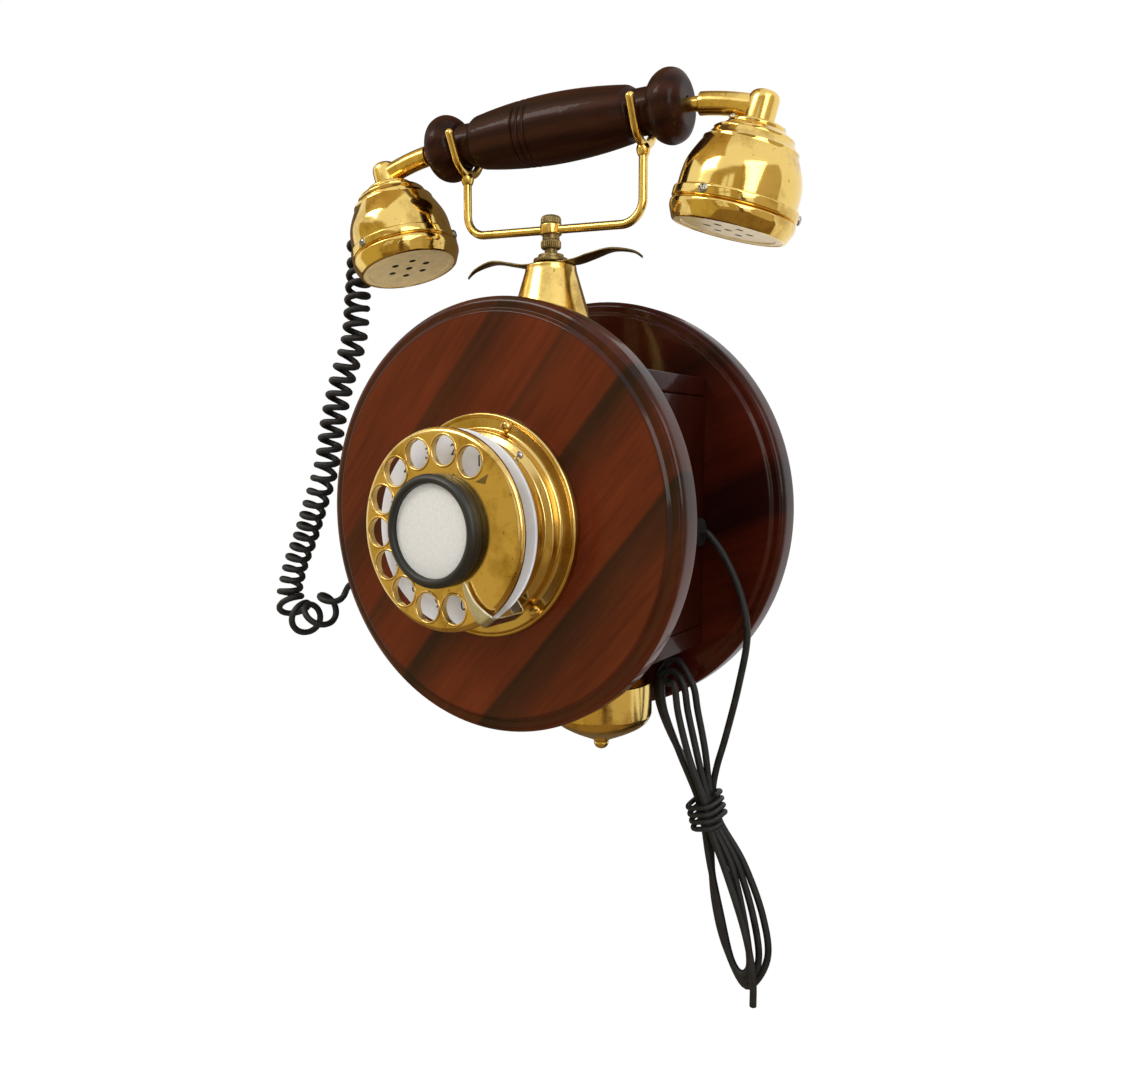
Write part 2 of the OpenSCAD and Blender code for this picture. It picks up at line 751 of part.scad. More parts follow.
module mechanism_plate() color(steel) at_dial() difference() {
    union() {
        rod(mech_radius, d_mech - mech_thickness, d_mech);
        for (a = pillar_angles) rotate([0, 0, a]) translate([pillar_circle, 0, 0])
            rod(pillar_radius, d_mech - mech_thickness, d_number_back - base_top);
        translate([-gear_centres, 0, 0]) rod(journal_boss, d_gear + journal_gap, d_mech);
    }
    rod(spindle_radius + run_gap, d_mech - mech_thickness - past, d_mech + past);
    translate([-gear_centres, 0, 0]) rod(journal_radius + run_gap, d_gear, d_mech + past);
}

function spiral(i, w) = (spiral_start + spiral_growth * i / spiral_steps + w)
    * [cos(spiral_step * i), sin(spiral_step * i)];

module return_spring() color(steel) at_dial() translate([0, 0, d_mech]) linear_extrude(spiral_width)
    polygon(concat([for (i = [0:spiral_steps]) spiral(i, spiral_half)],
        [for (i = [spiral_steps:-1:0]) spiral(i, -spiral_half)]));

module pulse_contacts() color(white) at_dial() {
    slab([pulse_low.x, pulse_low.y, d_gear - pulse_drop],
        [pulse_high.x, pulse_high.y, d_mech - mech_thickness]);
    for (drop = pulse_blades)
        slab([pulse_low.x + pulse_blade_inset, pulse_low.y - pulse_blade_reach, d_gear - drop],
            [pulse_high.x - pulse_blade_inset, pulse_low.y, d_gear - drop + pulse_blade]);
}

module dial_spindle() color(steel) at_dial() {
    rod(spindle_radius, d_gear - gear_thickness - spindle_tail, d_wheel + card_step - past);
    rod(hub_radius, d_number + pass_gap, d_wheel_back);
}

// gear teeth one after another, each with a root width and a narrower tip width in degrees
function gear_outline(teeth, phase, root, tip) = [for (i = [0:teeth - 1],
    p = [[-root, -tooth_down], [-tip, tooth_up], [tip, tooth_up], [root, -tooth_down]])
    let (a = phase + 360 * i / teeth + p.x) (gear_module * (teeth / 2 + p.y)) * [cos(a), sin(a)]];

module main_gear() color(gold) at_dial() translate([0, 0, d_gear - gear_thickness])
    linear_extrude(gear_thickness) difference() {
        polygon(gear_outline(gear_teeth, 0, 88 / gear_teeth, 44 / gear_teeth));
        circle(r = spindle_radius + plug_gap);
    }

module governor() color(steel) at_dial() translate([-gear_centres, 0, 0]) {
    rod(journal_radius, d_gear - drum_drop, d_mech);
    translate([0, 0, d_gear - gear_thickness - journal_gap]) linear_extrude(gear_thickness + pinion_more)
        polygon(gear_outline(pinion_teeth, 180 / pinion_teeth, 90 / pinion_teeth, 40 / pinion_teeth));
    intersection() {
        rod(weight_radius, d_gear - weight_drop, d_gear - weight_drop + weight_length);
        slab([-weight_half, -weight_radius, d_gear - weight_drop],
            [weight_half, weight_radius, d_gear - weight_drop + weight_length]);
    }
    rod(drum_radius, d_gear - drum_drop, d_gear - drum_drop + drum_length);
}

// finger wheel with the bezel and the blank card on its middle
wheel_edge = 0.6;
card_step = 4.3;
card_thickness = 1;
bezel_wall = 3.5;
bezel_ledge = 2;
bezel_edge = 1;

module finger_wheel() color(gold) at_dial() difference() {
    turned([[spindle_radius + plug_gap, d_wheel_back], [wheel_radius - wheel_edge, d_wheel_back],
        [wheel_radius, d_wheel_back + wheel_edge], [wheel_radius, d_wheel - wheel_edge],
        [wheel_radius - wheel_edge, d_wheel], [spindle_radius + plug_gap, d_wheel]]);
    for (i = [0:9]) rotate([0, 0, first_hole + hole_pitch * i]) translate([hole_circle, 0, 0])
        rod(finger_hole, d_wheel_back - past, d_wheel + past);
}

module card_bezel() color(black) at_dial() turned([[bezel_radius - bezel_wall - bezel_ledge, d_wheel],
    [bezel_radius, d_wheel], [bezel_radius, d_wheel + bezel_rise - bezel_edge],
    [bezel_radius - bezel_edge, d_wheel + bezel_rise], [bezel_radius - bezel_wall, d_wheel + bezel_rise],
    [bezel_radius - bezel_wall, d_wheel + card_step],
    [bezel_radius - bezel_wall - bezel_ledge, d_wheel + card_step]]);

module dial_card() color(white) at_dial()
    rod(bezel_radius - bezel_wall - plug_gap, d_wheel + card_step, d_wheel + card_step + card_thickness);

// handset: turned handle, two brass tubes, two cups with perforated plates
knob_in = fork_reach + wire + pass_gap + handset_shift;
knob_middle = knob_in + knob_length / 2;
knob_out = knob_in + knob_length;
barrel_end = fork_reach - wire - pass_gap - 2 * handset_shift;
groove_places = [-13, -10, -7];
knob_lip = 1;
groove_half = 0.6;
groove_depth = 0.8;
tube_sink = 8;
tube_neck = 2.8;
tube_neck_reach = 5;
elbow_x = knob_middle + tube_reach * cos(tube_droop);
elbow_z = -tube_reach * sin(tube_droop);
cap_rise = 6;
nipple_reach = 10;
nipple_radius = 2.8;

// handset frame: x along the handle, z up, origin in the middle of the handle
module at_handset() translate([0, 0, z_handle]) at_cradle() translate([handset_shift, 0, 0]) children();

// tube frame: origin in the middle of a knob, z along the tube outwards
module at_tube(s) translate([s * knob_middle, 0, 0]) rotate([0, s * (90 + tube_droop), 0]) children();

// cup frame: origin on the tube's axis over the cup, z up along the cup's axis
module at_cup(s) translate([s * elbow_x, 0, elbow_z]) rotate([0, s * cup_tilt, 0]) children();

// half of the handle's outline: [radius, distance from the middle], from the knob's end inwards
function handle_side() = [[0, knob_out], [knob_radius * 0.62, knob_out],
    [knob_radius * 0.88, knob_out - knob_length * 0.16], [knob_radius, knob_out - knob_length * 0.4],
    [knob_radius, knob_out - knob_length * 0.6], [knob_radius * 0.88, knob_out - knob_length * 0.84],
    [neck_radius + knob_lip, knob_in], [neck_radius, knob_in], [neck_radius, barrel_end],
    [barrel_radius - knob_lip, barrel_end], [barrel_radius, barrel_end * 0.95],
    [barrel_radius + barrel_swell * 0.6, barrel_end * 0.65],
    [barrel_radius + barrel_swell * 0.93, barrel_end * 0.32], [barrel_radius + barrel_swell, 0]];

module handle() color(dark_wood) at_handset() difference() {
    rotate([0, 90, 0]) turned(concat([for (p = handle_side()) [p.x, -p.y]], reversed(handle_side())));
    for (x = groove_places) rotate([0, 90, 0]) difference() {
        rod(knob_radius, x - groove_half, x + groove_half);
        rod(barrel_radius + barrel_swell - groove_depth, x - groove_half - past, x + groove_half + past);
    }
    for (s = [-1, 1]) at_tube(s) rod(tube_neck + plug_gap, knob_length / 2 - tube_sink, knob_length);
}

module tube_and_cap(s) {
    neck_end = knob_length / 2 + tube_neck_reach;
    at_tube(s) rod(tube_neck, knob_length / 2 - tube_sink + plug_gap, neck_end + past);
    at_tube(s) rod(tube_radius, neck_end, tube_reach);
    at_cup(s) rotate_extrude() polygon([[0, shell_top], [cap_radius, shell_top], [cap_radius, cap_rise * 0.6],
        [cap_radius * 0.8, cap_rise * 0.87], [0, cap_rise]]);
}

module left_tube() color(gold) at_handset() {
    tube_and_cap(-1);
    translate([-elbow_x, 0, elbow_z]) rotate([-90, 0, 0]) rod(nipple_radius, 0, nipple_reach);
}

module right_tube() color(gold) at_handset() tube_and_cap(1);

shell_top = -6;
shell_flange = 11;
shell_flange_height = 1.4;
bead_drop = cup_drop - rim_height;
bead_height = 5;
bead_edge = 0.6;
bead_step = 1.2;
dome_radius = rim_radius - bead_step;
dome_height = bead_drop - bead_height + shell_top;
// dome outline as parts of its radius and of its height, from the top flange down to the bead
dome_shape = [[0.65, 0.14], [0.81, 0.36], [0.93, 0.62], [0.99, 0.88], [1, 1]];
function dome_line(inset) = [for (p = dome_shape)
    [dome_radius * p.x - inset, shell_top - inset - dome_height * p.y]];
cup_screw_angles = [-100, 20, 140];
cup_screw_shank = 0.9;
cup_screw_head = 1.8;
cup_screw_height = 1;
cup_screw_sink = 1;

module cup_screw_places() for (a = cup_screw_angles) rotate([0, 0, a])
    translate([0, 0, bead_height / 2 - bead_drop]) rotate([0, 90, 0]) children();

module cup_shell(s) at_cup(s) difference() {
    rotate_extrude() polygon(concat([[0, shell_top], [shell_flange, shell_top],
        [shell_flange, shell_top - shell_flange_height]], dome_line(0),
        [[rim_radius, shell_top - dome_height - bead_edge], [rim_radius, -bead_drop],
        [dome_radius - cup_wall, -bead_drop]], reversed(dome_line(cup_wall)), [[0, shell_top - cup_wall]]));
    cup_screw_places()
        rod(cup_screw_shank + plug_gap, rim_radius - cup_screw_sink - plug_gap, rim_radius + past);
}

module left_shell() color(gold) at_handset() cup_shell(-1);

module right_shell() color(gold) at_handset() cup_shell(1);

module cup_screws() color(old_brass) at_handset() for (s = [-1, 1]) at_cup(s) cup_screw_places() {
    rod(cup_screw_shank, rim_radius - cup_screw_sink, rim_radius + cup_screw_height / 2);
    translate([0, 0, rim_radius])
        cylinder(r1 = cup_screw_head, r2 = cup_screw_head * 0.7, h = cup_screw_height);
}

rim_taper = 2.8;
rim_step = 0.9;
rim_ledge = 1.5;
rim_edge = 1;
plate_seat = rim_radius - rim_taper - rim_edge;
plate_sink = 1;
plate_depth = 1.8;
plate_radius = plate_seat - plug_gap;
plate_hole_circle = plate_radius * 0.42;
z_plate = plate_sink - cup_drop;
z_capsule = z_plate + plate_depth;
transmitter_depth = 12;
receiver_depth = 15;

module cup_rim(s) at_cup(s) rotate_extrude() polygon([[dome_radius - cup_wall, -bead_drop],
    [rim_radius - bead_edge, -bead_drop], [rim_radius, -bead_drop - bead_edge],
    [rim_radius, rim_height * 0.6 - cup_drop], [rim_radius - rim_step, rim_height * 0.5 - cup_drop],
    [rim_radius - rim_step, rim_height * 0.4 - cup_drop], [rim_radius - rim_taper, -cup_drop],
    [plate_seat, -cup_drop],
    [plate_seat, z_capsule], [plate_seat - rim_ledge, z_capsule],
    [plate_seat - rim_ledge, z_capsule + rim_ledge]]);

module left_rim() color(gold) at_handset() cup_rim(-1);

module right_rim() color(gold) at_handset() cup_rim(1);

module cup_plate(s) at_cup(s) difference() {
    rod(plate_radius, z_plate, z_capsule);
    for (i = [0:5]) rotate([0, 0, 60 * i]) translate([plate_hole_circle, 0, 0])
        rod(plate_hole, z_plate - past, z_capsule + past);
    rod(plate_hole, z_plate - past, z_capsule + past);
}

module left_plate() color(cream) at_handset() cup_plate(-1);

module right_plate() color(cream) at_handset() cup_plate(1);

module capsule(s, depth) at_cup(s) rod(plate_seat - rim_ledge - plug_gap, z_capsule, z_capsule + depth);

module transmitter() color(black) at_handset() capsule(-1, transmitter_depth);

module receiver() color(steel) at_handset() capsule(1, receiver_depth);

// grommets where the two cords leave the case
curly_exit = [-case_half_width, -46, -36];
line_exit = [case_half_width, -20, -8];
grommet_flange = 2;
grommet_lip = 2;
grommet_radius = 4;

module at_exit(s, exit) translate([0, exit.y, exit.z]) rotate([0, s * 90, 0]) children();

module grommet() {
    rod(grommet_radius, inner_half_width, case_half_width + grommet_flange);
    rod(grommet_radius + grommet_lip, case_half_width, case_half_width + grommet_flange);
}

module cord_grommets() color(black) {
    at_exit(-1, curly_exit) grommet();
    at_exit(1, line_exit) grommet();
}

// a point between two route points on a smooth curve through all of them
function through(p, i, t) = let (a = p[max(i - 1, 0)], b = p[i], c = p[i + 1], d = p[min(i + 2, len(p) - 1)])
    b + 0.5 * t * (c - a + t * (2 * a - 5 * b + 4 * c - d + t * (3 * (b - c) + d - a)));
function smooth(p, n) = [for (i = [0:len(p) - 2], k = [0:n - 1]) through(p, i, k / n), p[len(p) - 1]];
function unit(v) = v / norm(v);
function along(c, i) = unit(c[min(i + 1, len(c) - 1)] - c[max(i - 1, 0)]);
function across(v, t) = unit(v - (v * t) * t);

// tube of constant radius around a line of points, with a side direction at each point
sides = 6;
module tube(c, side, r) {
    n = len(c);
    last = (n - 1) * sides;
    points = [for (i = [0:n - 1]) let (t = along(c, i), u = across(side[i], t), v = cross(t, u))
        for (k = [0:sides - 1]) c[i] + r * (cos(360 * k / sides) * u + sin(360 * k / sides) * v)];
    walls = [for (i = [0:n - 2], k = [0:sides - 1]) let (a = i * sides + k, b = i * sides + (k + 1) % sides)
        each [[a, a + sides, b], [b, a + sides, b + sides]]];
    ends = [for (k = [1:sides - 2]) each [[0, k, k + 1], [last, last + k + 1, last + k]]];
    polyhedron(points, concat(walls, ends));
}

// least free gap between parts of one tube that are further apart along it than near rings
function least_gap(c, d, near) =
    min([for (i = [0:len(c) - 1], j = [i + near:1:len(c) - 1]) norm(c[i] - c[j])]) - d;

// curly cord: a plain lead from the handset's nipple, then curls down to the case
turned_x = [cos(cradle_turn), sin(cradle_turn), 0];
turned_y = [-sin(cradle_turn), cos(cradle_turn), 0];
nipple_end = [stem_x, -stem_depth, z_handle + elbow_z] + (handset_shift - elbow_x) * turned_x
    + nipple_reach * turned_y;
curly_in = nipple_end + curly_diameter * turned_y;
curly_end = curly_exit - [grommet_flange, 0, 0];
curly_out = curly_end - [curly_diameter, 0, 0];
curly_route = concat([curly_in],
    [[-99, -35, 154], [-112, -37, 148], [-118, -38, 134], [-119, -38, 119], [-117, -42, 101], [-118, -44, 81],
     [-125, -46, 61], [-129, -49, 40], [-132, -51, 19], [-140, -52, -1], [-148, -52, -18], [-156, -53, -35],
     [-159, -54, -52], [-147, -54, -61], [-133, -53, -54], [-121, -51, -42], [-100, -49, -37],
     [-80, -47, -36]], [curly_out]);
curls_per_span = 3;
curl_rings = curls_per_span * rings_per_curl;
curl_line = smooth(curly_route, curl_rings);
curl_count = len(curl_line) - 1;
lead_spans = 3.5;
curls_from = lead_spans * curl_rings;
wide_spans = 12.5;
wide_from = wide_spans * curl_rings;
open_spans = 4;
open_to = wide_from + open_spans * curl_rings;
function ramp(i) = max(0, min(1, i));
function curl_size(i) = ramp((i - curls_from) / rings_per_curl) * ramp((open_to - i) / curl_rings)
    * (curl_radius + (wide_curl_radius - curl_radius) * ramp((i - wide_from) / curl_rings));
// a close curl turns once in a third of a span, an open loop once in a whole one
function curl_turn(i) = 360 * (min(i, wide_from) / rings_per_curl + max(i - wide_from, 0) / curl_rings);
function curl_side(i) = let (t = along(curl_line, i), u = unit(cross(t, [0, 1, 0])))
    cos(curl_turn(i)) * u + sin(curl_turn(i)) * cross(t, u);
// the plain leads and the open loops keep fewer rings than the curls
function kept(i) = i % rings_per_curl == 0 || (i >= curls_from && i <= wide_from)
    || (i > wide_from && i < open_to && i % 2 == 0);
curl_kept = [for (i = [0:curl_count]) if (kept(i)) i];
curly_line = concat([nipple_end], [for (i = curl_kept) curl_line[i] + curl_size(i) * curl_side(i)],
    [curly_end]);
curly_sides = concat([curl_side(0)], [for (i = curl_kept) curl_side(i)], [curl_side(curl_count)]);
echo(curly_gap = least_gap(curly_line, curly_diameter, 6));

module curly_cord() color(black) tube(curly_line, curly_sides, curly_diameter / 2);

// line cord: lead from the case, three bundle loops through the tie, bare end below
line_end = line_exit + [grommet_flange, 0, 0];
line_out = line_end + [line_diameter, 0, 0];
lead_route = [[70, -19, -17], [77, -18, -32], [80.5, -17.5, -50], [77, -17, -72], [71, -16, -96],
    [67, -15.5, -110]];
tail_route = [[76, -150], [85, -174], [89, -192], [89.5, -206]];
bundle_back = -15.4;
tie_high = [63, -121];
tie_low = [67, -135];
tie_half = 2.3;
lower_axis = [[72.5, -150], [78, -171], [82, -190]];
lower_half = [7.5, 11, 9.5];
lower_nest = [1.2, 2.8, 2.6];
lower_tip = [82.5, -205];
upper_axis = [[55, -103], [49, -86], [47.5, -74]];
upper_half = [8, 10.3, 9];
upper_nest = [2.4, 3, 2.6];
upper_tip = [47.5, -64.5];
tip_nest = 4.7;
function layer(k) = bundle_back - layer_pitch * k;
function at_layer(p, k) = [p.x, layer(k), p.y];
function tie_pass(s, k) = [for (p = [tie_high, (tie_high + tie_low) / 2, tie_low])
    at_layer(p + [s * tie_half, 0], k)];
function lower_side(s, k) = [for (i = [0:2])
    at_layer(lower_axis[i] + [s * (lower_half[i] - lower_nest[i] * k), 0], k)];
function upper_side(s, k, row) = [for (i = [0:2])
    at_layer(upper_axis[i] + [s * (upper_half[i] - upper_nest[i] * k), 0], row)];
function lower_loop(k) = concat(lower_side(1, k), [at_layer(lower_tip + [0, tip_nest * k], k)],
    reversed(lower_side(-1, k)));
function upper_loop(k) = concat(upper_side(-1, k, k), [at_layer(upper_tip - [0, tip_nest * k], k + 0.5)],
    reversed(upper_side(1, k, k + 1)));
function turn(k) = concat(tie_pass(1, k), lower_loop(k), reversed(tie_pass(-1, k)), upper_loop(k));
line_route = concat([line_out], lead_route, turn(0), turn(1), turn(2), tie_pass(1, 3),
    [for (p = tail_route) at_layer(p, 3)]);
line_line = concat([line_end], smooth(line_route, 2));
line_sides = [for (i = [0:len(line_line) - 1]) cross(along(line_line, i), [0, 1, 0])];
echo(line_gap = least_gap(line_line, line_diameter, 4));

module line_cord() color(black) tube(line_line, line_sides, line_diameter / 2);

// tie: a cord wound around the bundle
bundle_middle = 1.5;
tie_wraps = 4;
tie_rings = 16;
tie_pitch = 3;
tie_wide = 5.4;
tie_deep = 8.8;
tie_count = tie_wraps * tie_rings;
tie_axis = unit([tie_low.x - tie_high.x, 0, tie_low.y - tie_high.y]);
tie_across = [-tie_axis.z, 0, tie_axis.x];
tie_middle = [(tie_high.x + tie_low.x) / 2, layer(bundle_middle), (tie_high.y + tie_low.y) / 2];
function squared(v) = sign(v) * sqrt(abs(v));
function tie_side(i) = let (a = 360 * i / tie_rings)
    tie_wide * squared(cos(a)) * tie_across + [0, tie_deep * squared(sin(a)), 0];
tie_line = [for (i = [0:tie_count])
    tie_middle + tie_side(i) + (i / tie_rings - tie_wraps / 2) * tie_pitch * tie_axis];
echo(tie_gap = least_gap(tie_line, tie_diameter, 6));

module cord_tie() color(black) tube(tie_line, [for (i = [0:tie_count]) tie_side(i)], tie_diameter / 2);

back_disc();
top_board();
bottom_board();
left_board();
right_board();
front_disc();
case_screws();
hanger_plate();
hanger_screws();
cone_pedestal();
leaf_strip();
stem_collar();
gong_post();
gong();
gong_finial();
dial_base();
dial_screws();
number_plate();
finger_stop();
mechanism_plate();
return_spring();
pulse_contacts();
hook_bracket();
hook_spring();
hook_contacts();
ringer_frame();
ringer_coils();
hammer_pivot();
network_board();
terminal_block();
cord_grommets();
line_cord();
cord_tie();
curly_cord();
dial_spindle();
main_gear();
finger_wheel();
card_bezel();
dial_card();
governor();
stem();
cradle_bar();
left_fork();
right_fork();
cradle_nut();
hammer();
handle();
left_tube();
right_tube();
left_shell();
right_shell();
left_rim();
right_rim();
left_plate();
right_plate();
transmitter();
receiver();
cup_screws();
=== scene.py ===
import math

import bmesh
import bpy
import numpy as np
from mathutils import Euler, Matrix, Vector


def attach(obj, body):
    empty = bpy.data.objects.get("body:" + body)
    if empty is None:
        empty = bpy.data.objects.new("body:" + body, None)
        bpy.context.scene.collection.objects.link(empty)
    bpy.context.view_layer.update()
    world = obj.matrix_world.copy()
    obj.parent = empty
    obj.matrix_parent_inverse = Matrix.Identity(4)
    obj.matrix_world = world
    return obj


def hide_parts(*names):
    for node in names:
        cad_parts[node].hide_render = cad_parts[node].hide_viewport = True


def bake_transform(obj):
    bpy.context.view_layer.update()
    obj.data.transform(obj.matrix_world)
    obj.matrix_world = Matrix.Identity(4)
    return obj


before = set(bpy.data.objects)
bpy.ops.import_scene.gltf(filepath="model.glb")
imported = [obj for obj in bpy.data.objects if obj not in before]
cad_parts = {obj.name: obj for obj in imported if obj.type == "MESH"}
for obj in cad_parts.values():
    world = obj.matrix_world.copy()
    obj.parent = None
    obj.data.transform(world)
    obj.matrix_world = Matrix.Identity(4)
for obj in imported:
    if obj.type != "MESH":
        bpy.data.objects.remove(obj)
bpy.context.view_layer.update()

# Studio: the camera stands to the right of the dial, a little above it, as for the photograph.
# A pale floor lies far below, as under a telephone on a wall, broad lamps light it softly, and
# warm cards beside the camera give the polished brass something to mirror.
MM = 0.001
PHOTO_WIDTH, FOCAL_PIXELS, SENSOR = 1140, 894.5, 36
CAMERA_PLACE, CAMERA_YAW, CAMERA_PITCH = (0.2171, -0.3660, 0.0268), math.radians(32.78), math.radians(-5.53)
FLOOR_HEIGHT, AMBIENT = -1.35, 0.55
scene = bpy.context.scene
scene.view_settings.view_transform = "Standard"
level = math.cos(CAMERA_PITCH)
gaze = Vector((-math.sin(CAMERA_YAW) * level, math.cos(CAMERA_YAW) * level, math.sin(CAMERA_PITCH)))
camera = bpy.data.objects.new("camera", bpy.data.cameras.new("camera"))
camera.data.sensor_fit = "HORIZONTAL"
camera.data.sensor_width = SENSOR
camera.data.lens = SENSOR * FOCAL_PIXELS / PHOTO_WIDTH
camera.data.clip_start = 0.01
camera.location = CAMERA_PLACE
camera.rotation_euler = gaze.to_track_quat("-Z", "Y").to_euler()
scene.collection.objects.link(camera)
scene.camera = camera


def white_when_seen(tree, plain, white, output):
    """White to rays from the camera, a mirror or clear glass, and plain to rays that carry diffuse light."""
    rays = tree.nodes.new("ShaderNodeLightPath")
    seen = rays.outputs["Is Camera Ray"]
    for other in ("Is Glossy Ray", "Is Transmission Ray"):
        larger = tree.nodes.new("ShaderNodeMath")
        larger.operation = "MAXIMUM"
        tree.links.new(seen, larger.inputs[0])
        tree.links.new(rays.outputs[other], larger.inputs[1])
        seen = larger.outputs[0]
    choose = tree.nodes.new("ShaderNodeMixShader")
    for source, socket in zip((seen, plain.outputs[0], white.outputs[0]), choose.inputs):
        tree.links.new(source, socket)
    tree.links.new(choose.outputs[0], tree.nodes[output].inputs["Surface"])


world = bpy.data.worlds.new("studio")
world.use_nodes = True
scene.world = world
ambient = world.node_tree.nodes["Background"]
ambient.inputs["Color"].default_value = (1.0, 0.97, 0.93, 1)
ambient.inputs["Strength"].default_value = AMBIENT
backdrop = world.node_tree.nodes.new("ShaderNodeBackground")
backdrop.inputs["Color"].default_value = (1, 1, 1, 1)
white_when_seen(world.node_tree, ambient, backdrop, "World Output")


def flat_panel(name, middle, across, upward):
    """Flat panel: its middle plus and minus two half edges."""
    m, a, u = (np.array(v, float) for v in (middle, across, upward))
    mesh = bpy.data.meshes.new(name)
    mesh.from_pydata([m - a - u, m + a - u, m + a + u, m - a + u], [], [(0, 1, 2, 3)])
    panel = bpy.data.objects.new(name, mesh)
    scene.collection.objects.link(panel)
    return panel


floor = flat_panel("floor", (0, 0, FLOOR_HEIGHT), (5, 0, 0), (0, 5, 0))
floor_paint = bpy.data.materials.new("floor_paint")
floor_paint.use_nodes = True
matt = floor_paint.node_tree.nodes["Principled BSDF"]
matt.inputs["Base Color"].default_value = (0.86, 0.86, 0.85, 1)
matt.inputs["Roughness"].default_value = 0.9
glow = floor_paint.node_tree.nodes.new("ShaderNodeEmission")
white_when_seen(floor_paint.node_tree, matt, glow, "Material Output")
floor.data.materials.append(floor_paint)


def warm_card(name, middle, across, upward, colour):
    """A card that only mirrors see: it neither shows to the camera nor shades the telephone."""
    card = flat_panel(name, middle, across, upward)
    card.visible_camera = card.visible_diffuse = card.visible_shadow = card.visible_transmission = False
    paint = bpy.data.materials.new(name)
    paint.use_nodes = True
    glow = paint.node_tree.nodes.new("ShaderNodeEmission")
    glow.inputs["Color"].default_value = (*colour, 1)
    paint.node_tree.links.new(glow.outputs[0], paint.node_tree.nodes["Material Output"].inputs["Surface"])
    card.data.materials.append(paint)


warm_card("card_left", (-0.72, -0.95, -0.08), (0.50, -0.36, 0), (0, 0, 0.62), (0.55, 0.44, 0.17))
warm_card("card_behind", (0.09, -1.50, -0.1), (0.81, 0, 0), (0, 0, 0.9), (0.44, 0.33, 0.13))
warm_card("card_door", (0.98, -1.30, -0.35), (0.12, 0.06, 0), (0, 0, 0.6), (0.13, 0.08, 0.03))
warm_card("card_right", (1.25, -0.35, 0), (0, 0.55, 0), (0, 0, 0.8), (0.56, 0.46, 0.28))
warm_card("card_low", (0.3, -0.75, -0.70), (1.6, 0, 0), (0, 1.2, 0), (0.26, 0.17, 0.07))
warm_card("card_high", (1.00, -1.40, 0.55), (0.25, 0, 0), (0, 0, 0.35), (0.36, 0.26, 0.10))
warm_card("card_corner", (0.14, 0.03, -0.475), (0.11, 0, 0), (0, 0, 0.345), (0.10, 0.07, 0.05))
warm_card("card_ceiling", (-0.55, 0.0, 0.95), (0.5, 0, 0), (0, 0.8, 0), (0.50, 0.36, 0.14))
warm_card("card_wall", (-0.60, 0.03, 0), (0.63, 0, 0), (0, 0, 0.70), (0.15, 0.11, 0.07))
for row in range(3):
    for column in range(2):
        pane = (0.05 + 0.27 * column, -1.45, -0.05 + 0.24 * row)
        warm_card("card_pane_%d_%d" % (row, column), pane, (0.11, 0, 0), (0, 0, 0.09), (1.0, 1.0, 0.94))


def lamp(name, place, size, power, colour, seen=True):
    """Square soft lamp aimed at the telephone's middle; one that isn't seen shows in no mirror either."""
    data = bpy.data.lights.new(name, "AREA")
    data.size = size
    data.energy = power
    data.color = colour
    light = bpy.data.objects.new(name, data)
    light.location = place
    light.visible_camera = light.visible_glossy = seen
    light.rotation_euler = (-Vector(place)).to_track_quat("-Z", "Y").to_euler()
    scene.collection.objects.link(light)


lamp("key", (-0.7, -1.0, 1.2), 0.8, 16, (1.0, 0.97, 0.92))
lamp("fill", (1.1, -0.8, 0.5), 0.9, 7.5, (1.0, 0.98, 0.95))
lamp("bounce", (0.05, -0.2, -1.1), 0.9, 6.5, (1.0, 0.95, 0.88), seen=False)

# Wooden case: two turned discs, 187 and 171 mm across, with four boards between them, glued up from
# red-brown strips, some darker, that run slantwise over the front, and varnished to a high gloss.
BACK_RADIUS, BACK_THICKNESS = 93.5, 13.0
FRONT_RADIUS, FRONT_BACK, FACE = 85.5, 78.5, 90.5
EDGE_WIDTH, EDGE_STEP = 6.0, 2.4
CASE_WIDTH, CASE_HEIGHT, BOARD = 58.0, 57.0, 8.0
DIAL_HEIGHT, DIAL_HOLE = -2.8, 33.0
HANGER_MIDDLE, HANGER_HALF = 57.0, np.array([12.02, 22.02])
POCKET_HALF, POCKET_DEPTH, PLATE_DEPTH = np.array([7.0, 12.0]), 8.0, 2.0
SQUARE = np.array([(-1, -1), (1, -1), (1, 1), (-1, 1)])
FACE_SLANT, BACK_SLANT, STRIP_WANDER = 49.0, 24.0, 2.5


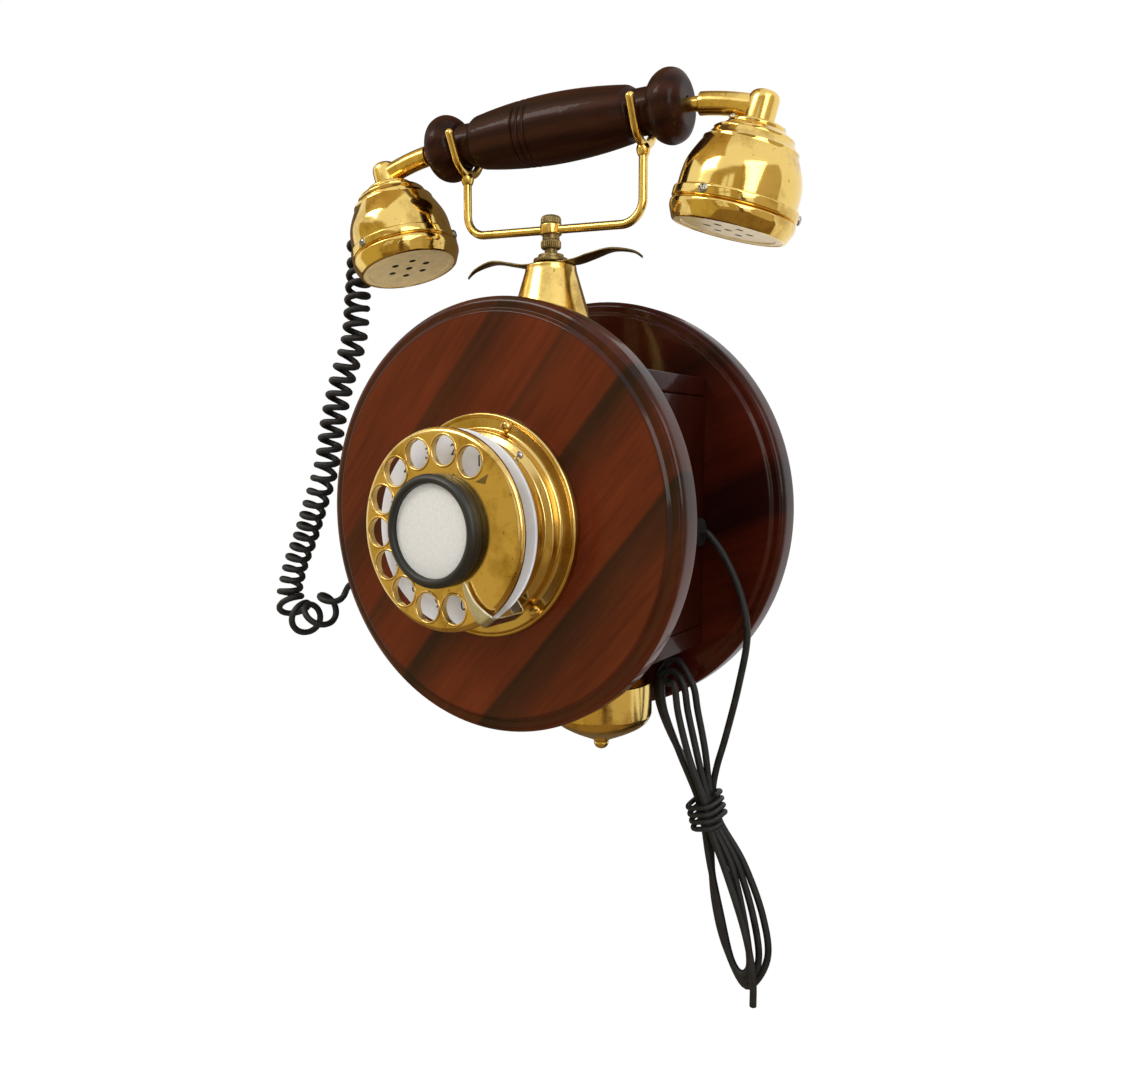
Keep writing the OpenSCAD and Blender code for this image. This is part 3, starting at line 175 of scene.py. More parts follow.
class Finish:
    """A material in the making: linked nodes that start from the place of a point on the object."""

    def __init__(self, name):
        self.material = bpy.data.materials.new(name)
        self.material.use_nodes = True
        self.tree = self.material.node_tree
        self.place = self.add("TexCoord", out="Object")

    def fill(self, node, inputs):
        """Links or sets inputs of a node."""
        for key, value in inputs.items():
            if isinstance(value, bpy.types.NodeSocket):
                self.tree.links.new(value, node.inputs[key])
            else:
                node.inputs[key].default_value = value

    def add(self, kind, inputs=None, out=0, **settings):
        """The output of a new node."""
        node = self.tree.nodes.new("ShaderNode" + kind)
        for key, value in settings.items():
            setattr(node, key, value)
        self.fill(node, inputs or {})
        return node.outputs[out]

    def noise(self, scale, detail=2.0, place=None, rough=0.5):
        """Fractal noise, stretched where the scale has a number for each axis."""
        place = self.place if place is None else place
        if isinstance(scale, tuple):
            place, scale = self.add("Mapping", {"Vector": place, "Scale": scale}), 1.0
        return self.add("TexNoise", {"Vector": place, "Scale": scale, "Detail": detail, "Roughness": rough})

    def ramp(self, value, *stops):
        """Colours, or greys given as one number, at stops between 0 and 1."""
        node = self.tree.nodes.new("ShaderNodeValToRGB")
        while len(node.color_ramp.elements) < len(stops):
            node.color_ramp.elements.new(0.5)
        for element, (at, tone) in zip(node.color_ramp.elements, stops):
            element.position = at
            element.color = (*tone, 1) if isinstance(tone, tuple) else (tone, tone, tone, 1)
        self.tree.links.new(value, node.inputs[0])
        return node.outputs[0]

    def share(self, value, low, high):
        """0 at a low and 1 at a high length in millimetres."""
        return self.add("MapRange", {"Value": value, "From Min": low * MM, "From Max": high * MM})

    def mean(self, a, b):
        """Half the sum of two values."""
        return self.add("Math", {0: self.add("Math", {0: a, 1: b}, operation="ADD"), 1: 0.5}, operation="MULTIPLY")

    def times(self, colour, shade):
        """Two colours multiplied."""
        return self.add("Mix", {0: 1.0, 6: colour, 7: shade}, out=2, data_type="RGBA", blend_type="MULTIPLY")

    def bump(self, height, strength, distance, **more):
        """A normal tilted by the slope of a height."""
        return self.add("Bump", {"Height": height, "Strength": strength, "Distance": distance, **more})

    def done(self, **sockets):
        """The material, after filling inputs of its shader that are named with _ for a space."""
        self.fill(self.tree.nodes["Principled BSDF"], {key.replace("_", " "): value for key, value in sockets.items()})
        return self.material


def wood_finish(name, slant, strips, peel=0.05, coat=0.3, gloss=0.1, edge=0.0):
    """Varnished strips: colour by the distance across the slant, fine grain along it, a clear coat
    with a slight orange peel. strips are (millimetres across, colour) stops. Beyond the radius of a
    moulded edge the colour is darkened, partly as a darker stain and partly as painted shade that is
    deepest in the step just past that radius, and the varnish lies thicker."""
    wood = Finish(name)
    turned = wood.add("Mapping", {"Vector": wood.place, "Rotation": (0, math.radians(slant), 0)})
    wander = wood.noise((7, 16, 16), place=turned)
    across = wood.add("SeparateXYZ", {"Vector": turned}, out=2)
    across = wood.add("Math", {0: wander, 1: 2 * STRIP_WANDER * MM, 2: across}, operation="MULTIPLY_ADD")
    reach = strips[-1][0]
    share = wood.share(across, STRIP_WANDER - reach, STRIP_WANDER + reach)
    tone = wood.ramp(share, *[((at + reach) / (2 * reach), colour) for at, colour in strips])
    grain = wood.noise((28, 420, 420), 5.0, turned, 0.62)
    cloud = wood.noise((14, 60, 60), place=turned)
    colour = wood.times(tone, wood.ramp(wood.mean(grain, cloud), (0.3, 0.5), (0.7, 1.3)))
    if edge:
        flat = wood.add("Mapping", {"Vector": wood.place, "Scale": (1, 0, 1)})
        beyond = wood.share(wood.add("VectorMath", {0: flat}, out="Value", operation="LENGTH"), edge - 2, edge + 6)
        # Painted shade: the colour darkens past the moulded edge and most in its step, partly a darker stain and partly
        # shade painted into the wood.
        colour = wood.times(colour, wood.ramp(beyond, (0.12, 1.0), (0.25, 0.5), (0.45, 0.42), (1.0, 0.6)))
        coat = wood.ramp(beyond, (0.15, coat), (0.3, 1.5 * coat))
    return wood.done(
        Base_Color=colour, Roughness=0.42, Normal=wood.bump(grain, 0.08, 0.0005), Specular_IOR_Level=0.05,
        Coat_Weight=coat, Coat_Roughness=gloss, Coat_Normal=wood.bump(wood.noise(260.0), peel, 0.001))


RED, TAN = (0.105, 0.0165, 0.0038), (0.108, 0.018, 0.0038)
BROWN, DARK = (0.058, 0.012, 0.004), (0.028, 0.008, 0.003)
DEEP, BLACKISH = (0.042, 0.005, 0.0015), (0.013, 0.002, 0.001)
face_strips = [
    (-90, TAN), (-68, TAN), (-60, BROWN), (-51.5, DARK), (-50, RED), (-30, RED), (-19, BROWN), (-15, DARK),
    (-11.5, DARK), (-10, RED), (7, RED), (18, BROWN), (19.5, RED), (34, RED), (44, BROWN), (49.5, BROWN), (51, RED),
    (90, RED)]
back_strips = [
    (-90, DEEP), (-40, DEEP), (-34, BLACKISH), (-18, BLACKISH), (-12, DEEP), (25, DEEP), (36, BLACKISH), (48, DEEP),
    (90, DEEP)]
board_strips = [(-90, DEEP), (-62, DEEP), (-55, BLACKISH), (-40, DEEP), (90, DEEP)]
face_wood = wood_finish("face_wood", FACE_SLANT, face_strips, edge=FRONT_RADIUS - EDGE_WIDTH)
back_wood = wood_finish("back_wood", BACK_SLANT, back_strips)
board_wood = wood_finish("board_wood", 90.0, board_strips)


def rounded(corners, bits=4):
    """Line through (x, y, fillet) corners; a fillet turns its corner into a quadratic curve that
    starts and ends one fillet away from the corner."""
    line = [np.array(corners[0][:2], float)]
    for before, here, after in zip(corners[:-2], corners[1:-1], corners[2:]):
        p, a, b = (np.array(c[:2], float) for c in (here, before, after))
        cut = here[2] if len(here) > 2 else 0.0
        if cut == 0:
            line.append(p)
            continue
        a = p + (a - p) * min(0.49, cut / np.linalg.norm(a - p))
        b = p + (b - p) * min(0.49, cut / np.linalg.norm(b - p))
        t = np.linspace(0, 1, bits + 1)[:, None]
        line.extend((1 - t) ** 2 * a + 2 * t * (1 - t) * p + t * t * b)
    line.append(np.array(corners[-1][:2], float))
    return np.array(line)


def lathe(profile, angles=144):
    """Profile points (radius, height) turned round the z axis: x = r cos a, y = r sin a, z = h."""
    profile = np.asarray(profile, float)
    a = np.linspace(0, 2 * np.pi, angles, endpoint=False) if np.isscalar(angles) else np.asarray(angles)
    r, h = profile[:, :1], profile[:, 1:2]
    return np.stack([r * np.cos(a), r * np.sin(a), h + 0 * a], -1)


def facing(points, x=0.0, z=0.0):
    """From a frame with its third axis towards the viewer, counted from the wall, to the telephone's frame."""
    return np.stack([points[..., 0] + x, -points[..., 2], points[..., 1] + z], -1)


def grid_faces(rows, cols, wrap_rows, wrap_cols):
    """Quads between neighbouring grid points; a wrapped direction also joins its last line to its first."""
    i, j = np.meshgrid(np.arange(rows - (not wrap_rows)), np.arange(cols - (not wrap_cols)), indexing="ij")
    i, j = i.ravel(), j.ravel()
    k, m = (i + 1) % rows, (j + 1) % cols
    return np.stack([i * cols + j, i * cols + m, k * cols + m, k * cols + j], 1)


def shaped(name, parts):
    """Mesh of point grids in millimetres, each given with what wraps: "round" along the rows' own
    direction, "loop" in both, or "" for neither. Doubles are merged and faces turned outwards."""
    points, quads, start = [], [], 0
    for grid, wrap in parts:
        rows, cols = grid.shape[:2]
        points.append(grid.reshape(-1, 3))
        quads.append(grid_faces(rows, cols, wrap == "loop", wrap != "") + start)
        start += rows * cols
    mesh = bpy.data.meshes.new(name)
    mesh.from_pydata((np.concatenate(points) * MM).tolist(), [], np.concatenate(quads).tolist())
    shape = bmesh.new()
    shape.from_mesh(mesh)
    bmesh.ops.remove_doubles(shape, verts=shape.verts, dist=1e-6)
    bmesh.ops.dissolve_degenerate(shape, dist=1e-7, edges=shape.edges)
    bmesh.ops.recalc_face_normals(shape, faces=shape.faces)
    shape.to_mesh(mesh)
    shape.free()
    return mesh


def piece(mesh, body, slot, finish, *nodes, sharp=32.0):
    """The mesh as a smooth-shaded piece that rides on a body and stands for CAD nodes."""
    mesh.shade_smooth()
    mesh.set_sharp_from_angle(angle=math.radians(sharp))
    thing = bpy.data.objects.new(mesh.name, mesh)
    scene.collection.objects.link(thing)
    mesh.materials.append(finish)
    if body:
        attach(thing, body)
    if nodes:
        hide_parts(*nodes)
    return thing


def form(name, grid, wrap, body, slot, finish, *nodes, sharp=32.0):
    """A piece made of one grid."""
    return piece(shaped(name, [(grid, wrap)]), body, slot, finish, *nodes, sharp=sharp)


def clothe(finish, *nodes):
    """CAD nodes that keep their shape take a finish."""
    for node in nodes:
        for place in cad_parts[node].material_slots:
            place.material = finish


def capped(rings):
    """Rings with the middle of the first one put before them and the middle of the last one after them."""
    ends = rings[[0, -1]].mean(axis=1, keepdims=True) + 0 * rings[[0, -1]]
    return np.concatenate([ends[:1], rings, ends[1:]])


def prism(corners, low, high):
    """Corners of a polygon carried straight from a low to a high plane, with capped ends."""
    return capped(np.stack([np.column_stack([corners, np.full(len(corners), h)]) for h in (low, high)]))


def rod_line(radius, low, high):
    """Profile of a plain round rod."""
    return [(0, low), (radius, low), (radius, high), (0, high)]


def without(blank, cutter):
    """The blank mesh with the cutter's space taken out of it."""
    block, tool = (bpy.data.objects.new(mesh.name, mesh) for mesh in (blank, cutter))
    for thing in (block, tool):
        scene.collection.objects.link(thing)
    cut = block.modifiers.new("cut", "BOOLEAN")
    cut.operation, cut.solver, cut.object = "DIFFERENCE", "EXACT", tool
    result = bpy.data.meshes.new_from_object(block.evaluated_get(bpy.context.evaluated_depsgraph_get()))
    result.name = blank.name
    for thing in (block, tool):
        bpy.data.objects.remove(thing)
    return result


def disc_blank(radius, low, high):
    """Disc with a turned edge: from the back corner over the rounded rim and the small step to the face."""
    line = rounded([
        (0, low), (radius - 0.6, low), (radius, low + 0.6, 0.4), (radius, high - EDGE_STEP, 1.6),
        (radius - EDGE_WIDTH / 3, high - EDGE_STEP / 2, 0.8), (radius - EDGE_WIDTH * 0.8, high - EDGE_STEP / 2, 0.25),
        (radius - EDGE_WIDTH, high, 0.5), (radius - EDGE_WIDTH - 6, high), (0, high)])
    return shaped("disc_blank", [(facing(lathe(line, 160)), "round")])


back_disc = disc_blank(BACK_RADIUS, 0.0, BACK_THICKNESS)
for half, depth in ((HANGER_HALF, PLATE_DEPTH), (POCKET_HALF, POCKET_DEPTH)):
    recess = prism(SQUARE * half + (0, HANGER_MIDDLE), -1.0, depth)
    back_disc = without(back_disc, shaped("recess", [(facing(recess), "round")]))
back_disc.name = "back_disc_dressed"
piece(back_disc, "case", "case_wood", back_wood, "back_disc", sharp=40)
dial_bore = lathe(rod_line(DIAL_HOLE, FRONT_BACK - 1, FACE + 1), 160)
front_disc = disc_blank(FRONT_RADIUS, FRONT_BACK, FACE)
front_disc = without(front_disc, shaped("bore", [(facing(dial_bore, z=DIAL_HEIGHT), "round")]))
front_disc.name = "front_disc_dressed"
piece(front_disc, "case", "case_wood", face_wood, "front_disc", sharp=40)


def eased_board(name, low, high, ease=0.9):
    """Board between two corners with its edges eased by a small round."""
    mesh = bpy.data.meshes.new(name)
    shape = bmesh.new()
    bmesh.ops.create_cube(shape, size=1.0)
    low, high = np.array(low) * MM, np.array(high) * MM
    bmesh.ops.scale(shape, vec=high - low, verts=shape.verts)
    bmesh.ops.translate(shape, vec=(low + high) / 2, verts=shape.verts)
    bmesh.ops.bevel(shape, geom=shape.edges[:], offset=ease * MM, segments=3, profile=0.5, affect="EDGES")
    shape.to_mesh(mesh)
    shape.free()
    return mesh


INNER_WIDTH, INNER_HEIGHT = CASE_WIDTH - BOARD, CASE_HEIGHT - BOARD
for board, low, high in (
    ("top_board", (-CASE_WIDTH, -FRONT_BACK, INNER_HEIGHT), (CASE_WIDTH, -BACK_THICKNESS, CASE_HEIGHT)),
    ("left_board", (-CASE_WIDTH, -FRONT_BACK, -INNER_HEIGHT), (-INNER_WIDTH, -BACK_THICKNESS, INNER_HEIGHT)),
    ("right_board", (INNER_WIDTH, -FRONT_BACK, -INNER_HEIGHT), (CASE_WIDTH, -BACK_THICKNESS, INNER_HEIGHT)),
):
    piece(eased_board(board + "_dressed", low, high), "case", "case_wood", board_wood, board)
clothe(board_wood, "bottom_board")


# Iron and steel: hanger plate, screws, gong post, ringer frame, springs and the dial's works, left
# as turned or pressed, with a brushed grain and a few darker spots.
def scaled(tone, by):
    """A colour times a number, at most 1."""
    return tuple(min(1.0, by * c) for c in tone)


def steel_finish(name, tone, grain):
    """Brushed metal: a stretched noise drives the roughness and a fine bump, a wide one the tone."""
    metal = Finish(name)
    lines = metal.noise(grain, 3.0)
    return metal.done(
        Base_Color=metal.ramp(metal.noise(90.0, 4.0), (0.35, scaled(tone, 0.6)), (0.6, tone)), Metallic=1.0,
        Roughness=metal.ramp(lines, (0.3, 0.22), (0.7, 0.42)), Normal=metal.bump(lines, 0.06, 0.0002))


steel = steel_finish("brushed_steel", (0.52, 0.53, 0.55), (60, 900, 900))
clothe(steel, "hanger_plate", "hanger_screws", "case_screws", "gong_post", "mechanism_plate", "return_spring",
       "hook_bracket", "hook_spring", "ringer_frame", "hammer_pivot", "dial_spindle", "governor", "receiver")


# Wiring and insulators inside the case: wound copper coils, a coated board, and cream, white and
# black mouldings for the contacts, the terminals and the transmitter's capsule.
def moulded_finish(name, tone, rough, scale=240.0):
    """Moulding: a fine pitted skin with slight changes of tone."""
    skin = Finish(name)
    pits = skin.noise(scale, 4.0)
    return skin.done(Base_Color=skin.ramp(pits, (0.3, scaled(tone, 0.82)), (0.65, tone)), Roughness=rough,
                     Normal=skin.bump(pits, 0.05, 0.0004))


clothe(moulded_finish("coated_board", (0.04, 0.16, 0.07), 0.4), "network_board")
clothe(moulded_finish("insulator", (0.74, 0.73, 0.68), 0.45), "pulse_contacts", "hook_contacts")
clothe(moulded_finish("terminal_cream", (0.68, 0.60, 0.42), 0.4), "terminal_block")
clothe(moulded_finish("capsule_black", (0.02, 0.02, 0.02), 0.45), "transmitter")
clothe(steel_finish("copper_winding", (0.62, 0.27, 0.13), (900, 900, 2400)), "ringer_coils")


# Brass pedestal on the case: a spun cone, 47 mm high, polished bright, with a springy leaf strip
# clamped on its top under a stepped collar.
def brass_finish(name, tone, worn, middle=(0, 0, 0), lean=(0, 0, 0), rough=(0.10, 0.24), wave=0.06):
    """Polished brass: fine turning lines by the distance from and along an axis, cloudy tarnish
    towards the worn tone, and a slight waviness that breaks up what it mirrors."""
    brass = Finish(name)
    back = Euler([math.radians(a) for a in lean]).to_matrix().inverted()
    shift = -(back @ (Vector(middle) * MM))
    local = brass.add("Mapping", {"Vector": brass.place, "Rotation": tuple(back.to_euler()), "Location": tuple(shift)})
    height = brass.add("SeparateXYZ", {"Vector": local}, out=2)
    flat = brass.add("VectorMath", {0: local, 1: (1, 1, 0)}, operation="MULTIPLY")
    radius = brass.add("VectorMath", {0: flat}, out="Value", operation="LENGTH")
    lines = brass.noise(2600.0, place=brass.add("CombineXYZ", {0: radius, 1: height}))
    cloud = brass.noise(55.0, 6.0, rough=0.65)
    colour = brass.ramp(cloud, (0.34, worn), (0.5, tone), (0.8, scaled(tone, 1.06)))
    colour = brass.times(colour, brass.ramp(brass.noise(420.0), (0.24, 0.45), (0.3, 1.0)))
    swell = brass.bump(brass.noise(38.0, 1.0), wave, 0.004)
    return brass.done(
        Base_Color=colour, Metallic=1.0, Normal=brass.bump(lines, 0.03, 0.0001, Normal=swell),
        Roughness=brass.ramp(brass.mean(lines, cloud), (0.3, rough[0]), (0.7, rough[1])))


GOLD, WORN_GOLD = (0.85, 0.60, 0.18), (0.52, 0.33, 0.08)
OLD, WORN_OLD = (0.24, 0.175, 0.075), (0.06, 0.042, 0.02)
STEM_X, STEM_DEPTH, CRADLE_TURN = 1.2, 45.5, 4.5
CONE_FOOT, CONE_HEIGHT, CONE_BASE, CONE_TOP, CONE_WALL = 57.0, 46.8, 24.3, 10.7, 1.6
Z_LEAF = CONE_FOOT + CONE_HEIGHT
LEAF_THICKNESS, LEAF_REACH, LEAF_HALF = 1.2, 42.0, 5.0
Z_COLLAR = Z_LEAF + LEAF_THICKNESS
STEM_RADIUS, STEM_ROOM, SLIDE_ROOM = 2.7, 0.5, 0.05
COLLAR_FOOT, COLLAR_TOP, COLLAR_STEP, COLLAR_HEIGHT = 7.4, 5.4, 1.5, 3.3
cone_brass = brass_finish("cone_brass", GOLD, WORN_GOLD, (STEM_X, -STEM_DEPTH, 0))
old_brass = brass_finish("old_brass", OLD, WORN_OLD, (STEM_X, -STEM_DEPTH, 0), rough=(0.25, 0.5))


def turn(axis, degrees):
    """Rotation matrix about a main axis."""
    return np.array(Matrix.Rotation(math.radians(degrees), 3, axis))


def at_stem(points):
    """From the cradle's own frame, x along the handset, to the telephone's frame."""
    return points @ turn("Z", CRADLE_TURN).T + np.array([STEM_X, -STEM_DEPTH, 0])


bore = STEM_RADIUS + STEM_ROOM
cone_line = rounded([
    (bore, Z_LEAF - CONE_WALL), (bore, Z_LEAF, 0.2), (CONE_TOP, Z_LEAF, 0.9), (CONE_TOP + 0.15, Z_LEAF - 2.2, 1.0),
    (CONE_BASE - 0.9, CONE_FOOT + 2.6, 1.0), (CONE_BASE, CONE_FOOT + 0.8, 0.4), (CONE_BASE - 0.1, CONE_FOOT, 0.1),
    (CONE_BASE - CONE_WALL, CONE_FOOT), (CONE_TOP - CONE_WALL, Z_LEAF - CONE_WALL), (bore, Z_LEAF - CONE_WALL)])
form("pedestal", at_stem(lathe(cone_line)), "loop", "case", "polished_brass", cone_brass, "cone_pedestal")


def smooth_line(knots, count):
    """Curve through knots: each span is the cubic whose slope at a knot is half the step between its neighbours."""
    p = np.asarray(knots, float)
    padded = np.concatenate([p[:1], p, p[-1:]])
    s = np.linspace(0, len(p) - 1, count)
    i = np.minimum(s.astype(int), len(p) - 2)
    t = (s - i)[:, None]
    a, b, c, d = (padded[i + k] for k in range(4))
    return b + 0.5 * t * (c - a + t * (2 * a - 5 * b + 4 * c - d + t * (3 * (b - c) + d - a)))


def squarish(wave, power):
    """A wave with its sign kept and its size raised to a power, which squares off a circle."""
    return np.sign(wave) * np.abs(wave) ** power


def leaf_grid():
    """Strip along a curled line, pointed at both ends; the loop across it is a thin rounded plate."""
    line = smooth_line([
        (-1.0, -2.0), (-0.9, 1.0), (-0.68, 3.2), (-0.46, 1.6), (-0.27, 0), (0, 0), (0.27, 0), (0.46, 1.6), (0.68, 3.2),
        (0.9, 1.6), (1.0, -1.0)], 81)
    x, z = line[:, :1] * LEAF_REACH, line[:, 1:] + Z_LEAF
    half = LEAF_HALF * np.clip((1.02 - np.abs(line[:, :1])) / 0.58, 0.06, 1.0) ** 0.8
    a = np.linspace(0, 2 * np.pi, 20, endpoint=False)
    y = half * squarish(np.cos(a), 0.45)
    return capped(np.stack([x + 0 * y, y, z + LEAF_THICKNESS * (squarish(np.sin(a), 0.7) + 1) / 2], -1))


form("leaf", at_stem(leaf_grid()), "round", "case", "aged_brass", old_brass, "leaf_strip")
slide, collar_end = STEM_RADIUS + SLIDE_ROOM, Z_COLLAR + COLLAR_HEIGHT
collar_line = rounded([
    (slide, Z_COLLAR), (COLLAR_FOOT, Z_COLLAR, 0.3), (COLLAR_FOOT, Z_COLLAR + COLLAR_STEP, 0.5),
    (COLLAR_TOP, Z_COLLAR + COLLAR_STEP + 0.3, 0.3), (COLLAR_TOP, collar_end, 0.5), (slide, collar_end),
    (slide, Z_COLLAR)])
form("collar", at_stem(lathe(collar_line, 48)), "loop", "case", "aged_brass", old_brass, "stem_collar")

# Sprung cradle: a stem that slides in the collar, a knurled ring and nut on it, and a bent brass rod
# that carries a forked wire at each end, soldered on.
Z_BAR, Z_HANDLE = 118.5, 159.0
BOSS_RADIUS, BOSS_HALF, TIP_RADIUS, FIT = 4.6, 2.2, 2.2, 0.02
TAIL, FLANGE_LOW, FLANGE_HIGH, FLANGE_RADIUS = 24.0, 32.0, 34.0, 6.0
RING_LOW, RING_HIGH, RING_RADIUS = 110.6, 114.1, 4.3
NUT_RADIUS, NUT_HEIGHT = 4.4, 3.8
WIRE, FORK_REACH, BAR_BEND, BAR_LEAN = 1.8, 42.0, 9.0, 1.5
NECK_RADIUS, PASS_GAP, FORK_BEND, FORK_FLARE, PRONG = 8.8, 0.4, 10.0, math.radians(28), 9.5
FORK_DROP = (NECK_RADIUS + PASS_GAP + WIRE - FORK_BEND) / math.sin(FORK_FLARE)


def knurled(profile, low, high, teeth, depth, angles=192):
    """Lathe grid whose radius dips between teeth where the height is within a band."""
    grid = lathe(profile, angles)
    a = np.arctan2(grid[..., 1], grid[..., 0])
    band = (grid[..., 2] >= low) & (grid[..., 2] <= high)
    dip = 1 - band * depth * np.abs(np.sin(a * teeth / 2)) ** 0.7
    return grid * np.stack([dip, dip, np.ones_like(dip)], -1)


stem_line = rounded([
    (0, TAIL), (STEM_RADIUS, TAIL, 0.4), (STEM_RADIUS, FLANGE_LOW), (FLANGE_RADIUS, FLANGE_LOW, 0.3),
    (FLANGE_RADIUS, FLANGE_HIGH, 0.3), (STEM_RADIUS, FLANGE_HIGH), (STEM_RADIUS, RING_LOW),
    (RING_RADIUS - 0.5, RING_LOW, 0.2), (RING_RADIUS, RING_LOW + 0.6, 0.2), (RING_RADIUS, RING_HIGH - 0.6, 0.2),
    (RING_RADIUS - 0.5, RING_HIGH, 0.2), (STEM_RADIUS + 0.9, RING_HIGH + 0.4, 0.2),
    (STEM_RADIUS + 0.9, Z_BAR - BOSS_HALF), (TIP_RADIUS, Z_BAR - BOSS_HALF), (TIP_RADIUS, Z_BAR + BOSS_HALF + 3),
    (0, Z_BAR + BOSS_HALF + 3)], 3)
stem_grid = knurled(stem_line, RING_LOW + 0.4, RING_HIGH - 0.4, 32, 0.07)
form("stem_dressed", at_stem(stem_grid), "round", "plunger", "aged_brass", old_brass, "stem")
nut_low, nut_bore, nut_roof = Z_BAR + BOSS_HALF, TIP_RADIUS + FIT, Z_BAR + BOSS_HALF + 3.1
nut_line = rounded([
    (nut_bore, nut_low), (NUT_RADIUS, nut_low, 0.3), (NUT_RADIUS, nut_low + 2.3, 0.5),
    (NUT_RADIUS * 0.86, nut_low + 3.2, 0.5), (NUT_RADIUS * 0.5, nut_low + 3.75, 0.6), (0, nut_low + NUT_HEIGHT),
    (0, nut_roof), (nut_bore, nut_roof), (nut_bore, nut_low)])
nut_grid = knurled(nut_line, nut_low + 0.3, nut_low + 2.9, 28, 0.06)
form("nut", at_stem(nut_grid), "loop", "plunger", "aged_brass", old_brass, "cradle_nut")


def arc(middle, radius, start, stop, count=17):
    """Circle points in the plane of the two given coordinates, angles in radians."""
    a = np.linspace(start, stop, count)
    return np.column_stack([middle[0] + radius * np.cos(a), middle[1] + radius * np.sin(a)])


def unit(vectors):
    """Vectors brought to length 1."""
    return vectors / np.linalg.norm(vectors, axis=-1, keepdims=True)


def tube(path, side, radius, sides=16):
    """A ring of points round every path point, square to the path: side and the direction across it
    carry the cosine and the sine. The ends close to their middle points."""
    path = np.asarray(path, float)
    along = unit(np.gradient(path, axis=0))
    u = np.broadcast_to(np.asarray(side, float), path.shape)
    u = unit(u - (u * along).sum(1, keepdims=True) * along)
    v = np.cross(along, u)
    a = np.linspace(0, 2 * np.pi, sides, endpoint=False)[None, :, None]
    r = np.broadcast_to(np.asarray(radius, float), len(path))[:, None, None]
    return capped(path[:, None] + r * (np.cos(a) * u[:, None] + np.sin(a) * v[:, None]))


def domed_ends(path, radius, bits=5):
    """Path drawn out by one radius past both ends, with radii that shrink there as on a ball."""
    a = np.linspace(0, np.pi / 2, bits + 1)[1:, None]
    reach, ball = radius * np.sin(a), radius * np.maximum(np.cos(a[:, 0]), 0.02)
    first, last = unit(path[0] - path[1]), unit(path[-1] - path[-2])
    line = np.concatenate([path[0] + reach[::-1] * first, path, path[-1] + reach * last])
    return line, np.concatenate([ball[::-1], np.full(len(path), radius), ball])


def straight(a, b, count=6):
    """Evenly spaced points from a to b, without b."""
    return np.asarray(a, float) + np.linspace(0, 1, count, endpoint=False)[:, None] * (np.asarray(b, float) - a)


cradle_brass = brass_finish("cradle_brass", GOLD, WORN_GOLD, rough=(0.14, 0.3))
upright_top = Z_HANDLE - FORK_DROP - FORK_BEND
reach = FORK_REACH - BAR_BEND


def half_bar(lean):
    """Right half of the rod, out along the bar, round the bend and up; lean lifts the bend."""
    low = Z_BAR + lean + BAR_BEND
    return np.concatenate([
        straight((0, Z_BAR), (reach, Z_BAR + lean), 12), arc((reach, low), BAR_BEND, -np.pi / 2, 0),
        straight((FORK_REACH, low + 0.5), (FORK_REACH, upright_top - WIRE), 10), [(FORK_REACH, upright_top - WIRE)]])


bar = np.concatenate([half_bar(BAR_LEAN)[:0:-1] * (-1, 1), half_bar(-BAR_LEAN)])
bar_path = np.column_stack([bar[:, 0], 0 * bar[:, 0], bar[:, 1]])
boss_low, boss_high = Z_BAR - BOSS_HALF, Z_BAR + BOSS_HALF
boss_line = rounded([
    (nut_bore, boss_low), (BOSS_RADIUS, boss_low, 0.7), (BOSS_RADIUS, boss_high, 0.7), (nut_bore, boss_high),
    (nut_bore, boss_low)])
rod_parts = [(at_stem(tube(bar_path, (0, 1, 0), WIRE)), "round"), (at_stem(lathe(boss_line, 48)), "loop")]
piece(shaped("cradle_rod", rod_parts), "plunger", "polished_brass", cradle_brass, "cradle_bar")
solder_line = rounded([(0, -3.2), (2.0, -2.9, 0.5), (2.7, -1.2, 0.8), (2.9, 0.4, 0.8), (2.2, 1.9, 0.6), (0, 2.1)])
flare = np.array([math.sin(FORK_FLARE), math.cos(FORK_FLARE)])
tip = FORK_BEND * flare[::-1] * (1, -1) + PRONG * flare
bow = arc((0, 0), FORK_BEND, FORK_FLARE - np.pi, -FORK_FLARE, 25)
fork_line = np.concatenate([straight(tip * (-1, 1), bow[0], 8), bow, straight(bow[-1], tip, 8)[1:], [tip]])
for side, fork in ((-1, "left_fork"), (1, "right_fork")):
    fork_path = np.column_stack([
        0 * fork_line[:, 0] + side * FORK_REACH, fork_line[:, 0], fork_line[:, 1] + Z_HANDLE - FORK_DROP])
    fork_path, fork_radius = domed_ends(fork_path, WIRE)
    solder = lathe(solder_line, 32) + np.array([side * FORK_REACH, 0, upright_top - WIRE])
    fork_parts = [(at_stem(tube(fork_path, (1, 0, 0), fork_radius)), "round"), (at_stem(solder), "round")]
    piece(shaped(fork + "_dressed", fork_parts), "plunger", "polished_brass", cradle_brass, fork)

# Gong under the case: a spun brass bowl, 44 mm across, held on its post by a small finial nut,
# with the hammer's ball beside its rim.
GONG_X, GONG_DEPTH, GONG_RADIUS = 21.0, 36.0, 22.0
GONG_RIM, GONG_HEIGHT, GONG_WALL = -73.0, 25.8, 1.5
GONG_FLOOR = GONG_RIM - GONG_HEIGHT
POST_TIP, FINIAL_RADIUS, FINIAL_HEIGHT, FINIAL_BORE = 1.92, 4.2, 5.4, 3.6
gong_brass = brass_finish("gong_brass", GOLD, WORN_GOLD, (GONG_X, -GONG_DEPTH, 0))
bowl = np.array([(0.27, 0), (0.45, 0.07), (0.6, 0.13), (0.75, 0.2), (0.86, 0.26), (0.95, 0.34), (0.99, 0.42),
                 (1, 0.5), (1, 1)])
bowl_outer = smooth_line(bowl * (GONG_RADIUS, GONG_HEIGHT), 41)
bowl_inner = smooth_line(bowl[1:] * (GONG_RADIUS, GONG_HEIGHT) + (-GONG_WALL, 0), 33)[::-1]
